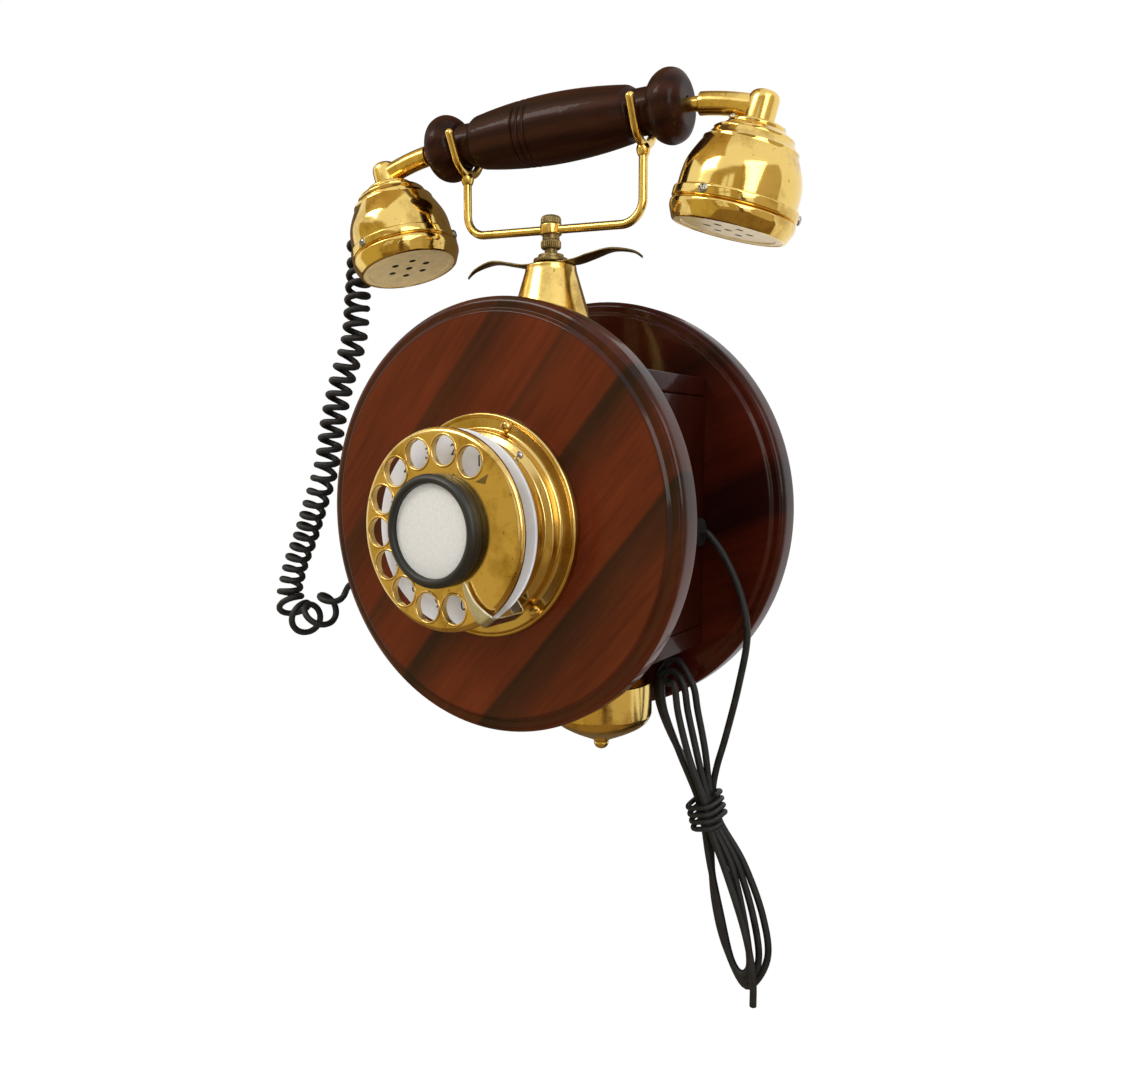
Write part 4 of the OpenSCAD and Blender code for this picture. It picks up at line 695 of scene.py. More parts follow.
bowl_inner[:, 1] += GONG_WALL * np.clip(1 - bowl_inner[:, 1] / (0.5 * GONG_HEIGHT), 0, 1)
gong_line = np.concatenate([[(POST_TIP, 0)], bowl_outer, [(GONG_RADIUS - 0.3, GONG_HEIGHT + 0.2)], bowl_inner,
                            [(6, GONG_WALL), (POST_TIP, GONG_WALL), (POST_TIP, 0)]])


def at_gong(points):
    """From the gong's own frame, heights from its floor, to the telephone's frame."""
    return points + np.array([GONG_X, -GONG_DEPTH, GONG_FLOOR])


form("gong_bowl", at_gong(lathe(gong_line)), "loop", "case", "polished_brass", gong_brass, "gong")
finial_line = np.concatenate([
    rounded([
        (POST_TIP, 0), (FINIAL_RADIUS, 0, 0.2), (FINIAL_RADIUS, -0.9, 0.4), (3.1, -1.7, 0.5), (3.3, -3.0, 0.7),
        (2.6, -4.5, 0.8), (1.2, -5.3, 0.5), (0, -FINIAL_HEIGHT)]),
    [(0, -FINIAL_BORE), (POST_TIP, -FINIAL_BORE), (POST_TIP, 0)]])
form("finial", at_gong(lathe(finial_line, 64)), "loop", "case", "polished_brass", gong_brass, "gong_finial")
clothe(gong_brass, "hammer")

# Dial: a stepped brass base screwed to the front disc, a white number plate, a bent nickel finger
# stop, and a brass finger wheel with ten holes, a black bezel and a plain card on its middle.
WHEEL_RADIUS, WHEEL_FRONT, WHEEL_BACK, WHEEL_SHEET, HUB = 38.0, 118.2, 113.7, 3.0, 10.0
HOLE_CIRCLE, HOLE_RADIUS, FIRST_HOLE, HOLE_PITCH, LIP = 29.5, 6.0, 59.0, 25.0, 0.5
SPINDLE = 4.0
NUMBER_RADIUS, NUMBER_FRONT, NUMBER_BACK = 37.5, 109.2, 108.0
COLLAR, SKIRT, FLANGE, BAND, BASE_ROOM, BASE_WALL = 34.0, 37.0, 44.0, 92.9, 31.0, 2.5
BAND_SCREW, BAND_CIRCLE, BAND_PLACES = (2.4, 1.8, 0.4), 40.2, ((72, 20), (-51, 75), (196, 140))
SHOULDER_SCREW, SHOULDER_CIRCLE, SHOULDER_HEIGHT, SHOULDER_PLACE = (1.6, 1.1, 0.3), 35.2, FACE + 7.2, (51, 30)
BEZEL_RADIUS, BEZEL_RISE, BEZEL_WALL, BEZEL_FOOT, BEZEL_SEAM, CARD_STEP = 21.0, 5.8, 3.5, 5.5, 2.7, 2.3
STOP_ANGLE, STOP_BOW, STOP_WALL, STOP_LIFT = -53.0, 1.6, 1.2, 1.0
STOP_INNER, STOP_FOOT, STOP_TIP = 39.2, FACE + 9, 22.4
MARK = np.array([(17.6, 18.1), (22.1, 17.4), (23.6, 21.1)])
DIGIT_SIZE, DIGIT_THICKNESS, DIGIT_SHIFT = 6.0, 0.05, -2.8
dial_brass = brass_finish("dial_brass", (0.70, 0.50, 0.18), WORN_GOLD, (0, 0, DIAL_HEIGHT), (90, 0, 0))
wheel_brass = brass_finish("wheel_brass", (0.82, 0.57, 0.20), WORN_GOLD, (0, 0, DIAL_HEIGHT), (90, 0, 0), wave=0.03)


def at_dial(points):
    """From the dial's own frame to the telephone's frame."""
    return facing(points, 0.0, DIAL_HEIGHT)


base_bore, base_roof = SPINDLE + SLIDE_ROOM, NUMBER_BACK - BASE_WALL
base_line = rounded([
    (base_bore, NUMBER_BACK), (COLLAR, NUMBER_BACK, 0.4), (COLLAR, FACE + 8, 0.5), (SKIRT, FACE + 6.6, 0.8),
    (SKIRT, BAND + 0.9, 0.6), (SKIRT + 0.9, BAND, 0.6), (FLANGE - 2.0, BAND, 0.5), (FLANGE - 1.2, BAND + 0.8, 0.6),
    (FLANGE - 0.2, BAND + 0.3, 0.6), (FLANGE, FACE + 1.0, 0.4), (FLANGE, FACE), (BASE_ROOM, FACE),
    (BASE_ROOM, base_roof), (base_bore, base_roof), (base_bore, NUMBER_BACK)])
form("dial_base_dressed", at_dial(lathe(base_line, 160)), "loop", "case", "polished_brass", dial_brass, "dial_base")


def points_and_faces(mesh):
    """Points of a mesh as an array and its faces as lists."""
    points = np.empty(len(mesh.vertices) * 3)
    mesh.vertices.foreach_get("co", points)
    return points.reshape(-1, 3), [list(p.vertices) for p in mesh.polygons]


def screw_head(radius, height, slot, turn_by, slots=1):
    """Points and faces of a domed screw head with one slot across it, or two crossed, standing on z = 0."""
    dome = rounded([
        (0, 0), (radius, 0), (radius, height * 0.35, height * 0.3), (radius * 0.6, height * 0.9, height), (0, height)])
    mesh = shaped("head", [(lathe(dome, 32), "round")])
    reach = 2 * radius * (1 if slots == 1 else 0.32)
    groove = prism(SQUARE * (reach, slot), height * 0.45, height * 2)
    for quarter in range(slots):
        mesh = without(mesh, shaped("groove", [(groove @ turn("Z", turn_by + 90 * quarter).T, "round")]))
    points, faces = points_and_faces(mesh)
    return points / MM, faces


def screw_on(size, circle, height, angle, turn_by):
    """A screw head standing on a circle of that radius and height."""
    points, faces = screw_head(*size, turn_by)
    return (points + (circle, 0, height)) @ turn("Z", angle).T, faces


def gathered(name, shapes):
    """One mesh from several sets of points and faces."""
    points, faces, start = [], [], 0
    for p, f in shapes:
        points.append(p)
        faces.extend([[i + start for i in face] for face in f])
        start += len(p)
    mesh = bpy.data.meshes.new(name)
    mesh.from_pydata((np.concatenate(points) * MM).tolist(), [], faces)
    return mesh


band_screws = [screw_on(BAND_SCREW, BAND_CIRCLE, BAND, *place) for place in BAND_PLACES]
band_screws = gathered("band_screws", [(at_dial(points), faces) for points, faces in band_screws])
piece(band_screws, "case", "polished_brass", dial_brass, "dial_screws", sharp=40)
points, faces = screw_on(SHOULDER_SCREW, SHOULDER_CIRCLE, SHOULDER_HEIGHT, *SHOULDER_PLACE)
piece(gathered("shoulder_screw", [(at_dial(points), faces)]), "case", "steel", steel, sharp=40)

enamel = Finish("white_enamel")
haze = enamel.ramp(enamel.noise(120.0, 4.0), (0.3, (0.74, 0.77, 0.84)), (0.7, (0.83, 0.86, 0.92)))
white_enamel = enamel.done(Base_Color=haze, Roughness=0.18, Coat_Weight=0.4)
plate_bore = SPINDLE + 0.5
plate_line = rounded([
    (plate_bore, NUMBER_BACK), (NUMBER_RADIUS, NUMBER_BACK, 0.3), (NUMBER_RADIUS, NUMBER_FRONT, 0.4),
    (plate_bore, NUMBER_FRONT), (plate_bore, NUMBER_BACK)])
form("number_plate_dressed", at_dial(lathe(plate_line)), "loop", "case", "white_enamel", white_enamel, "number_plate")

print_black = moulded_finish("print_black", (0.012, 0.012, 0.014), 0.4)
hole_angles = np.radians(FIRST_HOLE + HOLE_PITCH * np.arange(10))
hole_middles = HOLE_CIRCLE * np.column_stack([np.cos(hole_angles), np.sin(hole_angles), np.zeros(10)])
digits = []
for i, middle in enumerate(hole_middles):
    letter = bpy.data.curves.new("digit", "FONT")
    letter.body, letter.size = str((i + 1) % 10), DIGIT_SIZE
    letter.align_x, letter.align_y, letter.extrude = "CENTER", "CENTER", DIGIT_THICKNESS
    sign = bpy.data.objects.new("digit", letter)
    scene.collection.objects.link(sign)
    mesh = bpy.data.meshes.new_from_object(sign.evaluated_get(bpy.context.evaluated_depsgraph_get()))
    bpy.data.objects.remove(sign)
    points, faces = points_and_faces(mesh)
    digits.append((at_dial(points + middle + (DIGIT_SHIFT, 0, NUMBER_FRONT + DIGIT_THICKNESS)), faces))
piece(gathered("dial_digits", digits), "case", "black_plastic", print_black)


def strip(path, side, half, wall):
    """Flat strip with rounded edges carried along a path: half is its half width along side, wall its thickness."""
    u = np.broadcast_to(np.asarray(side, float), path.shape)
    v = np.cross(unit(np.gradient(path, axis=0)), u)
    a = np.linspace(0, 2 * np.pi, 24, endpoint=False)[None, :, None]
    wide, thick = half[:, None, None] * squarish(np.cos(a), 0.35), wall / 2 * squarish(np.sin(a), 0.6)
    return capped(path[:, None] + wide * u[:, None] + thick * v[:, None])


stop_mid = STOP_WALL / 2
stop_foot, stop_out, stop_front = STOP_FOOT + stop_mid, STOP_INNER + stop_mid, WHEEL_FRONT + STOP_LIFT + stop_mid
stop_line = rounded([
    (COLLAR + 0.1, stop_foot), (stop_out, stop_foot, 2.0), (stop_out, stop_front, 2.4), (STOP_TIP, stop_front)], 8)
step = np.linspace(0, 1, 60)
span = np.r_[0, np.cumsum(np.linalg.norm(np.diff(stop_line, axis=0), axis=1))]
sway = -STOP_BOW * np.sin(np.pi * np.clip((step - 0.6) / 0.4, 0, 1))
stop_across, stop_up = (np.interp(step * span[-1], span, stop_line[:, k]) for k in (0, 1))
stop_half = np.interp(step, [0, 0.5, 0.62, 0.7, 0.8, 0.97, 1], [2.6, 2.6, 3.2, 2.6, 1.8, 0.9, 0.5])
nickel = steel_finish("nickel_plate", (0.70, 0.68, 0.63), (40, 300, 300))
stop_grid = strip(np.column_stack([stop_across, sway, stop_up]), (0, 1, 0), stop_half, STOP_WALL)
form("stop_strip", at_dial(stop_grid @ turn("Z", STOP_ANGLE).T), "round", "case", "nickel", nickel, "finger_stop")

sheet_back, wheel_bore = WHEEL_FRONT - WHEEL_SHEET, SPINDLE + FIT
wheel_line = rounded([
    (wheel_bore, WHEEL_BACK), (HUB, WHEEL_BACK, 0.2), (HUB, sheet_back), (WHEEL_RADIUS - 0.5, sheet_back, 0.2),
    (WHEEL_RADIUS, sheet_back + 0.4, 0.3), (WHEEL_RADIUS, WHEEL_FRONT - 1.5, 0.8),
    (WHEEL_RADIUS - 0.9, WHEEL_FRONT - 0.5, 0.8), (WHEEL_RADIUS - 2.6, WHEEL_FRONT, 1.2), (wheel_bore, WHEEL_FRONT),
    (wheel_bore, WHEEL_BACK)])
hole = lathe(rod_line(HOLE_RADIUS, WHEEL_BACK - 2, WHEEL_FRONT + 2), 48)
lip = lathe(arc((HOLE_RADIUS - 0.12, WHEEL_FRONT - 0.12), LIP, 0, 2 * np.pi, 13)[:-1], 48)
holes = shaped("holes", [(at_dial(hole + middle), "round") for middle in hole_middles])
wheel = without(shaped("finger_wheel_dressed", [(at_dial(lathe(wheel_line, 160)), "loop")]), holes)
piece(wheel, "dial", "polished_brass", wheel_brass, "finger_wheel", sharp=30)
lips = shaped("hole_lips", [(at_dial(lip + middle), "loop") for middle in hole_middles])
piece(lips, "dial", "polished_brass", wheel_brass)
mark = prism(MARK, WHEEL_FRONT - 0.1, WHEEL_FRONT + 0.04)
form("wheel_mark", at_dial(mark), "round", "dial", "aged_brass", old_brass)

bezel_black = moulded_finish("bezel_black", (0.010, 0.010, 0.009), 0.42, 320.0)
bezel_foot, bezel_in = BEZEL_RADIUS - BEZEL_FOOT, BEZEL_RADIUS - BEZEL_WALL
bezel_front, bezel_seam, card_low = (WHEEL_FRONT + rise for rise in (BEZEL_RISE, BEZEL_SEAM, CARD_STEP))
bezel_line = rounded([
    (bezel_foot, WHEEL_FRONT), (BEZEL_RADIUS, WHEEL_FRONT, 0.3), (BEZEL_RADIUS, bezel_seam - 0.3, 0.2),
    (BEZEL_RADIUS - 0.3, bezel_seam, 0.1), (BEZEL_RADIUS, bezel_seam + 0.3, 0.2),
    (BEZEL_RADIUS, bezel_front - 1.4, 1.0), (BEZEL_RADIUS - 1.8, bezel_front, 0.9), (bezel_in, bezel_front - 0.6, 0.5),
    (bezel_in, card_low), (bezel_foot, card_low), (bezel_foot, WHEEL_FRONT)])
form("bezel", at_dial(lathe(bezel_line)), "loop", "dial", "black_plastic", bezel_black, "card_bezel")

paper = Finish("card_paper")
fibre = paper.noise(700.0, 5.0)
card_paper = paper.done(
    Base_Color=paper.ramp(fibre, (0.3, (0.61, 0.605, 0.58)), (0.7, (0.69, 0.685, 0.66))), Roughness=0.55,
    Normal=paper.bump(fibre, 0.1, 0.0001))
card_radius = bezel_in - FIT
card_line = rounded([(0, card_low), (card_radius, card_low), (card_radius, card_low + 1, 0.2), (0, card_low + 1)])
form("card", at_dial(lathe(card_line)), "round", "dial", "card", card_paper, "dial_card")
clothe(dial_brass, "main_gear")

# Handset: a turned dark hardwood handle with a knob at each end, brass tubes let into the knobs, and
# two spun brass cups that hang from caps on the tubes, each closed by a screwed rim and a pierced plate.
HANDSET_SHIFT, KNOB_IN, KNOB_LENGTH, KNOB_RADIUS, BARREL_END = 1.2, 45.4, 14.0, 13.9, 37.4
BARREL_RADIUS, BARREL_SWELL = 10.4, 3.2
KNOB_OUT, KNOB_MIDDLE = KNOB_IN + KNOB_LENGTH, KNOB_IN + KNOB_LENGTH / 2
TUBE_RADIUS, TUBE_REACH, TUBE_DROOP, TUBE_NECK, TUBE_ARCH = 4.3, 36.6, 10.5, 2.8, 1.4
CAP_RADIUS, CAP_RISE, CUP_TILT, RIM_RADIUS, CUP_DROP, CUP_WALL = 5.8, 6.0, 16.0, 24.4, 45.0, 1.6
SHELL_TOP, BEAD_DROP, BEAD_HEIGHT, DOME_RADIUS = -6.0, 37.4, 4.2, 23.2
NIPPLE_REACH, NIPPLE_RADIUS = 10.0, 2.8
SOCKET, TUBE_STEP, GROOVES, RIDGES = 8.0, 12.0, (-13, -10, -7), ((-9.9, 0.8), (-14.0, 0.6))
PLATE_SEAT, PLATE_STEP, Z_PLATE, Z_CAPSULE = 21.2, 18.4, -44.3, -42.2
PLATE_HOLE, PLATE_CIRCLE, PLATE_TURN = 1.6, 8.27, math.radians(20)
CUP_SCREW, CUP_ANGLES = (1.9, 1.1, 0.35), (-100, 20, 140)
CAP_SCREW, CAP_CIRCLE, CAP_ANGLES = (1.5, 1.5, 0.25), 9.6, (33, 213)
droop_angle = math.radians(TUBE_DROOP)
ELBOW = np.array([KNOB_MIDDLE + TUBE_REACH * math.cos(droop_angle), 0, -TUBE_REACH * math.sin(droop_angle)])
DUSK, EMBER = (0.016, 0.004, 0.002), (0.044, 0.012, 0.005)
handle_strips = [
    (-180, DUSK), (143, DUSK), (147, EMBER), (150, DUSK), (154, EMBER), (157, DUSK), (161, EMBER), (165, DUSK),
    (170, EMBER), (180, EMBER)]
handle_wood = wood_finish("handle_wood", 0.0, handle_strips, peel=0.12, coat=0.14, gloss=0.09)


def at_handset(points):
    """From the handset's own frame, origin in the middle of the handle, to the telephone's frame."""
    return at_stem(points + np.array([HANDSET_SHIFT, 0, Z_HANDLE]))


def at_cup(points, side):
    """From a cup's own frame, origin on the tube's axis and z up along the cup, to the telephone's frame."""
    return at_handset(points @ turn("Y", side * CUP_TILT).T + ELBOW * (side, 1, 1))


socket_low = KNOB_OUT - SOCKET
swell_end = BARREL_END - 3
knob_line = rounded([
    (TUBE_NECK + FIT, socket_low), (TUBE_NECK + FIT, KNOB_OUT), (KNOB_RADIUS * 0.66, KNOB_OUT, 1.2),
    (KNOB_RADIUS * 0.9, KNOB_OUT - 2.0, 2.2), (KNOB_RADIUS, KNOB_OUT - 5.4, 2.6), (KNOB_RADIUS, KNOB_IN + 5.4, 2.6),
    (KNOB_RADIUS * 0.88, KNOB_IN + 2.0, 2.0), (NECK_RADIUS + 1.2, KNOB_IN, 0.8), (NECK_RADIUS, KNOB_IN),
    (NECK_RADIUS, BARREL_END), (BARREL_RADIUS - 0.9, BARREL_END, 0.8), (BARREL_RADIUS + 0.2, BARREL_END - 1.8, 1.0),
    (BARREL_RADIUS + 0.49, swell_end)], 6)
swell_at = np.linspace(swell_end, -swell_end, 160)
swell = BARREL_RADIUS + BARREL_SWELL * (1 - (swell_at / BARREL_END) ** 2)
for groove in GROOVES:
    swell -= 0.8 * np.exp(-(((swell_at - groove) / 0.55) ** 4))
handle_line = np.concatenate([
    [(0, socket_low)], knob_line, np.column_stack([swell, swell_at]), knob_line[::-1] * (1, -1), [(0, -socket_low)]])
handle_grid = lathe(handle_line, 96) @ turn("Y", 90).T
form("handle_dressed", at_handset(handle_grid), "round", "handset", "handle_wood", handle_wood, "handle")

tube_brass = brass_finish("tube_brass", GOLD, WORN_GOLD, rough=(0.12, 0.28))
plate_cream = moulded_finish("plate_cream", (0.93, 0.72, 0.36), 0.35)
# Painted shade: near-black discs set into the plate's holes stand for the shade inside the cup behind them.
hole_shade = moulded_finish("hole_shade_black", (0.012, 0.009, 0.007), 0.9, 900.0)
bead_high, dome_inside = BEAD_HEIGHT - BEAD_DROP, DOME_RADIUS - CUP_WALL
dome_outer = smooth_line([
    (11.0, -7.4), (13.8, -9.1), (17.1, -13.0), (20.1, -18.2), (22.2, -23.0), (23.0, -27.4), (DOME_RADIUS, -32.6)], 61)
dome_inner = (dome_outer - (CUP_WALL, CUP_WALL))[::-1]
for ridge, rise in RIDGES:
    dome_outer[:, 0] += rise * np.exp(-(((dome_outer[:, 1] - ridge) / 0.6) ** 2))
shell_line = np.concatenate([
    rounded([(0, SHELL_TOP), (10.4, SHELL_TOP, 0.2), (11.0, SHELL_TOP - 0.6, 0.4), (11.0, -7.2, 0.1)], 3), dome_outer,
    rounded([
        (DOME_RADIUS, bead_high), (RIM_RADIUS - 0.3, bead_high - 0.2, 0.2), (RIM_RADIUS, bead_high - 0.7, 0.3),
        (RIM_RADIUS, -BEAD_DROP + 0.6, 0.3), (RIM_RADIUS - 0.9, -BEAD_DROP)], 3),
    [(dome_inside, -BEAD_DROP)], dome_inner, [(0, SHELL_TOP - CUP_WALL)]])
rim_line = rounded([
    (dome_inside, -BEAD_DROP), (RIM_RADIUS - 0.9, -BEAD_DROP, 0.2), (RIM_RADIUS, -BEAD_DROP - 0.9, 0.5),
    (RIM_RADIUS, -40.4, 1.2), (RIM_RADIUS - 2.2, -CUP_DROP, 0.6), (PLATE_SEAT, -CUP_DROP, 0.2), (PLATE_SEAT, Z_CAPSULE),
    (PLATE_SEAT - 1.5, Z_CAPSULE), (PLATE_SEAT - 1.5, Z_CAPSULE + 1.5), (dome_inside, -BEAD_DROP)])
cap_line = rounded([
    (0, SHELL_TOP), (CAP_RADIUS, SHELL_TOP, 0.2), (CAP_RADIUS, CAP_RISE * 0.66, 1.8),
    (CAP_RADIUS * 0.7, CAP_RISE * 0.95, 1.2), (0, CAP_RISE)], 6)
plate_rim = rounded([
    (0, Z_CAPSULE), (PLATE_SEAT - FIT, Z_CAPSULE), (PLATE_SEAT - FIT, Z_PLATE - 0.5, 0.3),
    (PLATE_STEP + 0.3, Z_PLATE - 0.5, 0.2), (PLATE_STEP, Z_PLATE, 0.2), (0, Z_PLATE)])
nipple_line = rounded([(0, 0), (NIPPLE_RADIUS, 0), (NIPPLE_RADIUS, NIPPLE_REACH - 0.2, 0.6), (0, NIPPLE_REACH)])
plate_hole = lathe(rod_line(PLATE_HOLE, Z_PLATE - 1, Z_CAPSULE + 1), 24)
hole_shade_plug = lathe(rod_line(PLATE_HOLE - FIT, Z_PLATE + 0.08, Z_CAPSULE - 0.2), 24)
spots = [(0, 0, 0)] + [(x, y, 0) for x, y in arc((0, 0), PLATE_CIRCLE, PLATE_TURN, PLATE_TURN + 2 * np.pi, 7)[:-1]]
shoulder = TUBE_STEP + np.array([-0.1, 0, 0.1, 0.4])
stretch = np.r_[-0.9, 6, shoulder, np.linspace(14, TUBE_REACH, 13)]
girth = np.interp(stretch, shoulder, TUBE_NECK + (TUBE_RADIUS - TUBE_NECK) * np.array([0, 0.7, 0.93, 1]))
arch = TUBE_ARCH * np.sin(np.pi * np.clip(stretch / TUBE_REACH, 0, 1))
for side, hand in ((-1, "left"), (1, "right")):
    cup_brass = brass_finish(
        hand + "_cup_brass", GOLD, WORN_GOLD, tuple(at_cup(np.zeros(3), side)), (0, side * CUP_TILT, 0), (0.05, 0.15))
    arm = tube(np.column_stack([-side * arch, 0 * stretch, stretch]), (0, 1, 0), girth, 32)
    arm = arm @ turn("Y", side * (90 + TUBE_DROOP)).T + np.array([side * KNOB_MIDDLE, 0, 0])
    arm_parts = [(at_handset(arm), "round"), (at_cup(lathe(cap_line, 48), side), "round")]
    if hand == "left":
        nipple = lathe(nipple_line, 32) @ turn("X", -90).T + ELBOW * (side, 1, 1)
        arm_parts.append((at_handset(nipple), "round"))
    piece(shaped(hand + "_arm", arm_parts), "handset", "polished_brass", tube_brass, hand + "_tube")
    dome, rim = (at_cup(lathe(line), side) for line in (shell_line, rim_line))
    form(hand + "_dome", dome, "round", "handset", "polished_brass", cup_brass, hand + "_shell", sharp=40)
    form(hand + "_rim_dressed", rim, "loop", "handset", "polished_brass", cup_brass, hand + "_rim")
    holes = shaped("holes", [(at_cup(plate_hole + spot, side), "round") for spot in spots])
    pierced = without(shaped(hand + "_grille", [(at_cup(lathe(plate_rim, 96), side), "round")]), holes)
    piece(pierced, "handset", "cream_plastic", plate_cream, hand + "_plate")
    # Black plugs in the plate's holes: painted shade of the holes, not a part of the cup.
    hole_shade_parts = [(at_cup(hole_shade_plug + spot, side), "round") for spot in spots]
    piece(shaped(hand + "_hole_shade", hole_shade_parts), "handset", "black_plastic", hole_shade)
dark_steel = steel_finish("dark_steel", (0.44, 0.42, 0.38), (300, 300, 300))
cup_heads = []
for side in (-1, 1):
    for angle in CUP_ANGLES:
        points, faces = screw_head(*CUP_SCREW, angle, 2)
        points = (points + (0, 0, RIM_RADIUS - 0.05)) @ turn("Y", 90).T + (0, 0, BEAD_HEIGHT / 2 - BEAD_DROP)
        cup_heads.append((at_cup(points @ turn("Z", angle).T, side), faces))
    for angle in CAP_ANGLES:
        points, faces = screw_on(CAP_SCREW, CAP_CIRCLE, SHELL_TOP, angle, angle)
        cup_heads.append((at_cup(points, side), faces))
piece(gathered("cup_heads", cup_heads), "handset", "steel", dark_steel, "cup_screws", sharp=40)

# Cords: a curly black handset cord from the left tube to the case's left side, and a thin line cord
# from the right side, folded into a hank of loops below the case and bound by a few turns of cord.
CURLY_DIAMETER, LINE_DIAMETER, TIE_DIAMETER = 3.2, 3.0, 2.2
CURL_RADIUS, WIDE_RADIUS, CURLS_PER_SPAN, LOOPS_PER_SPAN = 4.9, 7.2, 3, 1.3
LEAD_SPANS, SWELL_SPANS, SPIN_SPANS, WIDE_SPANS, FADE_SPANS, END_SPANS = 5.6, 0.9, 2.0, 15.5, 1.6, 19.5
NIPPLE_LEAD = 6.0
turned_x, turned_y = turn("Z", CRADLE_TURN)[:, 0], turn("Z", CRADLE_TURN)[:, 1]
elbow_at = np.array([STEM_X, -STEM_DEPTH, Z_HANDLE + ELBOW[2]]) + (HANDSET_SHIFT - ELBOW[0]) * turned_x
nipple_end = elbow_at + NIPPLE_REACH * turned_y
curly_end = np.array([-60.0, -46, -36])
curly_out = curly_end - (CURLY_DIAMETER, 0, 0)
curly_route = np.array([
    nipple_end, nipple_end + NIPPLE_LEAD * turned_y, (-91.2, -31.6, 152.9), (-97.2, -31, 153.9),
    (-104.6, -33.6, 152.9), (-112, -37, 148), (-118, -38, 134), (-119, -38, 119), (-117, -42, 101), (-118, -44, 81),
    (-125, -46, 61), (-129, -49, 40), (-132, -51, 19), (-140, -52, -1), (-148, -52, -18), (-156, -53, -35),
    (-159, -54, -52), (-147, -54, -61), (-133, -53, -54), (-121, -51, -42), (-100, -49, -37), (-80, -47, -36),
    curly_out])
SHEATH_BLACK, SHEATH_ROUGH = (0.009, 0.009, 0.0095), 0.44
rubber = Finish("cord_sheath")
scuff = rubber.noise(160.0, 5.0)
sheath = rubber.done(
    Base_Color=rubber.ramp(scuff, (0.45, SHEATH_BLACK), (0.8, scaled(SHEATH_BLACK, 2.2))), Specular_IOR_Level=0.35,
    Roughness=rubber.ramp(scuff, (0.3, SHEATH_ROUGH), (0.7, SHEATH_ROUGH + 0.2)),
    Normal=rubber.bump(rubber.noise(1500.0), 0.08, 0.0002))


def eased(x):
    """Smooth step: three times the square less twice the cube of x, held between 0 and 1."""
    x = np.clip(x, 0, 1)
    return x * x * (3 - 2 * x)


def coiled_line(route, rings):
    """Curls round a smooth line: the middle line plus a radius that turns about it. Radius and rate of turning
    swell in after the plain lead, change to wider and slower open loops, and fade to a plain end."""
    spans = len(route) - 1
    s = np.linspace(0, spans, spans * CURLS_PER_SPAN * rings + 1)
    middle = smooth_line(route, len(s))
    along = unit(np.gradient(middle, axis=0))
    u = unit(np.cross(along, (0, 1, 0)))
    v = np.cross(along, u)
    wide, fade = eased(s - WIDE_SPANS), eased((END_SPANS - s) / FADE_SPANS)
    rate = fade * eased((s - LEAD_SPANS) / SPIN_SPANS) * (CURLS_PER_SPAN + (LOOPS_PER_SPAN - CURLS_PER_SPAN) * wide)
    size = fade * eased((s - LEAD_SPANS) / SWELL_SPANS) * (CURL_RADIUS + (WIDE_RADIUS - CURL_RADIUS) * wide)
    a = 2 * np.pi * s[1] * np.cumsum(rate)[:, None]
    outward = np.cos(a) * u + np.sin(a) * v
    return middle + size[:, None] * outward, outward


curl_line, curl_side = coiled_line(curly_route, 24)
curly_path = np.concatenate([curl_line, [curly_end]])[::-1]
curly_side = np.concatenate([curl_side, curl_side[-1:]])[::-1]
curly_grid = tube(curly_path, curly_side, CURLY_DIAMETER / 2, 10)
curly = form("handset_cord", curly_grid, "round", None, "cord_rubber", sheath, "curly_cord", sharp=60)


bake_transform(curly)

BUNDLE_BACK, LAYER_PITCH, TIE_HALF, TIP_NEST = -15.4, 3.5, 2.3, 4.7
tie_high, tie_low = np.array([63.0, -121.0]), np.array([67.0, -135.0])
through_tie = np.array([tie_high, (tie_high + tie_low) / 2, tie_low])
lower_axis, lower_tip = np.array([(72.5, -150), (78, -171), (82, -190)]), np.array([82.5, -205])
lower_half, lower_nest = np.array([7.5, 11, 9.5]), np.array([1.2, 2.8, 2.6])
upper_axis, upper_tip = np.array([(55, -103), (49, -86), (47.5, -74)]), np.array([47.5, -64.5])
upper_half, upper_nest = np.array([8, 10.3, 9]), np.array([2.4, 3, 2.6])
line_end = np.array([60.0, -20, -8])
line_out = line_end + (LINE_DIAMETER, 0, 0)
lead_route = [(70, -19, -17), (77, -18, -32), (80.5, -17.5, -50), (77, -17, -72), (71, -16, -96), (67, -15.5, -110)]
tail_route = np.array([(76, -150), (85, -174), (89, -192), (89.5, -206)])


def at_layer(points, row):
    """Points of the hank's plane placed in one of its layers in front of the wall."""
    points = np.atleast_2d(points)
    return np.column_stack([points[:, 0], np.full(len(points), BUNDLE_BACK - LAYER_PITCH * row), points[:, 1]])


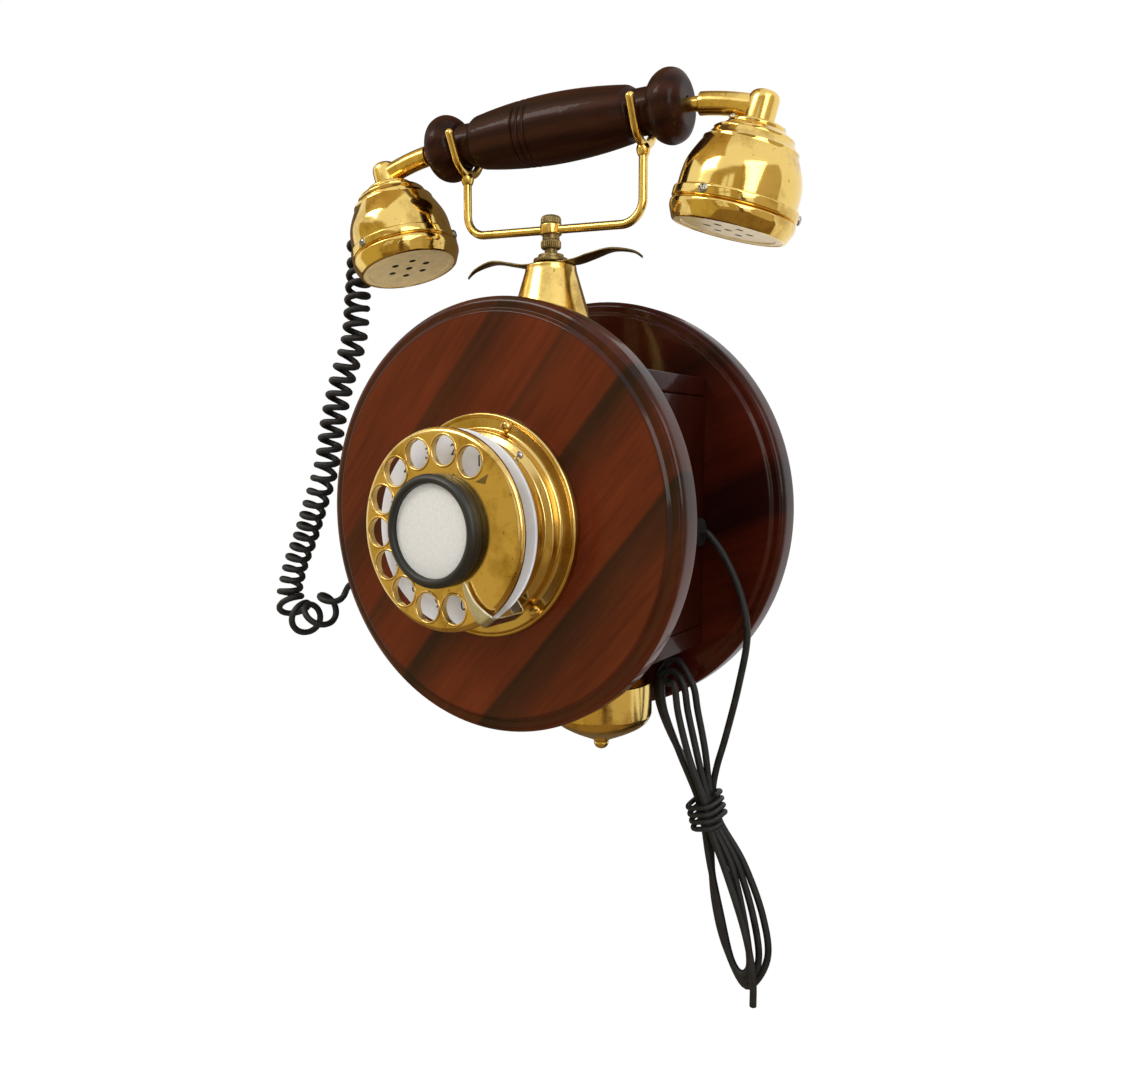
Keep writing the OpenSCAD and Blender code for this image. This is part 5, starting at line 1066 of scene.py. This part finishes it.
def hank_turn(k):
    """One turn of the hank: down through the tie, round the lower loop, up through the tie, round the upper."""
    low_side = np.column_stack([lower_half - lower_nest * k, np.zeros(3)])
    high_side = np.column_stack([upper_half - upper_nest * k, np.zeros(3)])
    return np.concatenate([
        at_layer(through_tie + (TIE_HALF, 0), k), at_layer(lower_axis + low_side, k),
        at_layer(lower_tip + (0, TIP_NEST * k), k), at_layer(lower_axis - low_side, k)[::-1],
        at_layer(through_tie - (TIE_HALF, 0), k)[::-1], at_layer(upper_axis - high_side, k),
        at_layer(upper_tip - (0, TIP_NEST * k), k + 0.5), at_layer(upper_axis + high_side, k + 1)[::-1]])


line_route = np.concatenate([
    [line_out], lead_route, hank_turn(0), hank_turn(1), hank_turn(2), at_layer(through_tie + (TIE_HALF, 0), 3),
    at_layer(tail_route, 3)])
line_path = np.concatenate([[line_end], smooth_line(line_route, (len(line_route) - 1) * 8 + 1)])
line_side = np.cross(np.gradient(line_path, axis=0), (0, 1, 0))
line_grid = tube(line_path, line_side, LINE_DIAMETER / 2, 12)
line = form("line_cord_dressed", line_grid, "round", "case", "cord_rubber", sheath, "line_cord", sharp=60)
TIE_WRAPS, TIE_PITCH, TIE_WIDE, TIE_DEEP = 4, 3.0, 5.4, 8.8
a = np.linspace(0, 2 * np.pi * TIE_WRAPS, TIE_WRAPS * 48 + 1)[:, None]
tie_axis = unit(np.array([tie_low[0] - tie_high[0], 0, tie_low[1] - tie_high[1]]))
tie_across, tie_out = np.array([-tie_axis[2], 0, tie_axis[0]]), np.array([0, 1, 0])
tie_middle = at_layer(through_tie[1], 1.5)[0]
tie_side = TIE_WIDE * squarish(np.cos(a), 0.5) * tie_across + TIE_DEEP * squarish(np.sin(a), 0.5) * tie_out
tie_path = tie_middle + tie_side + (a / (2 * np.pi) - TIE_WRAPS / 2) * TIE_PITCH * tie_axis
tie_grid = tube(tie_path, tie_side, TIE_DIAMETER / 2, 10)
tie = form("tie_dressed", tie_grid, "round", "case", "cord_rubber", sheath, "cord_tie", sharp=60)
clothe(sheath, "cord_grommets")
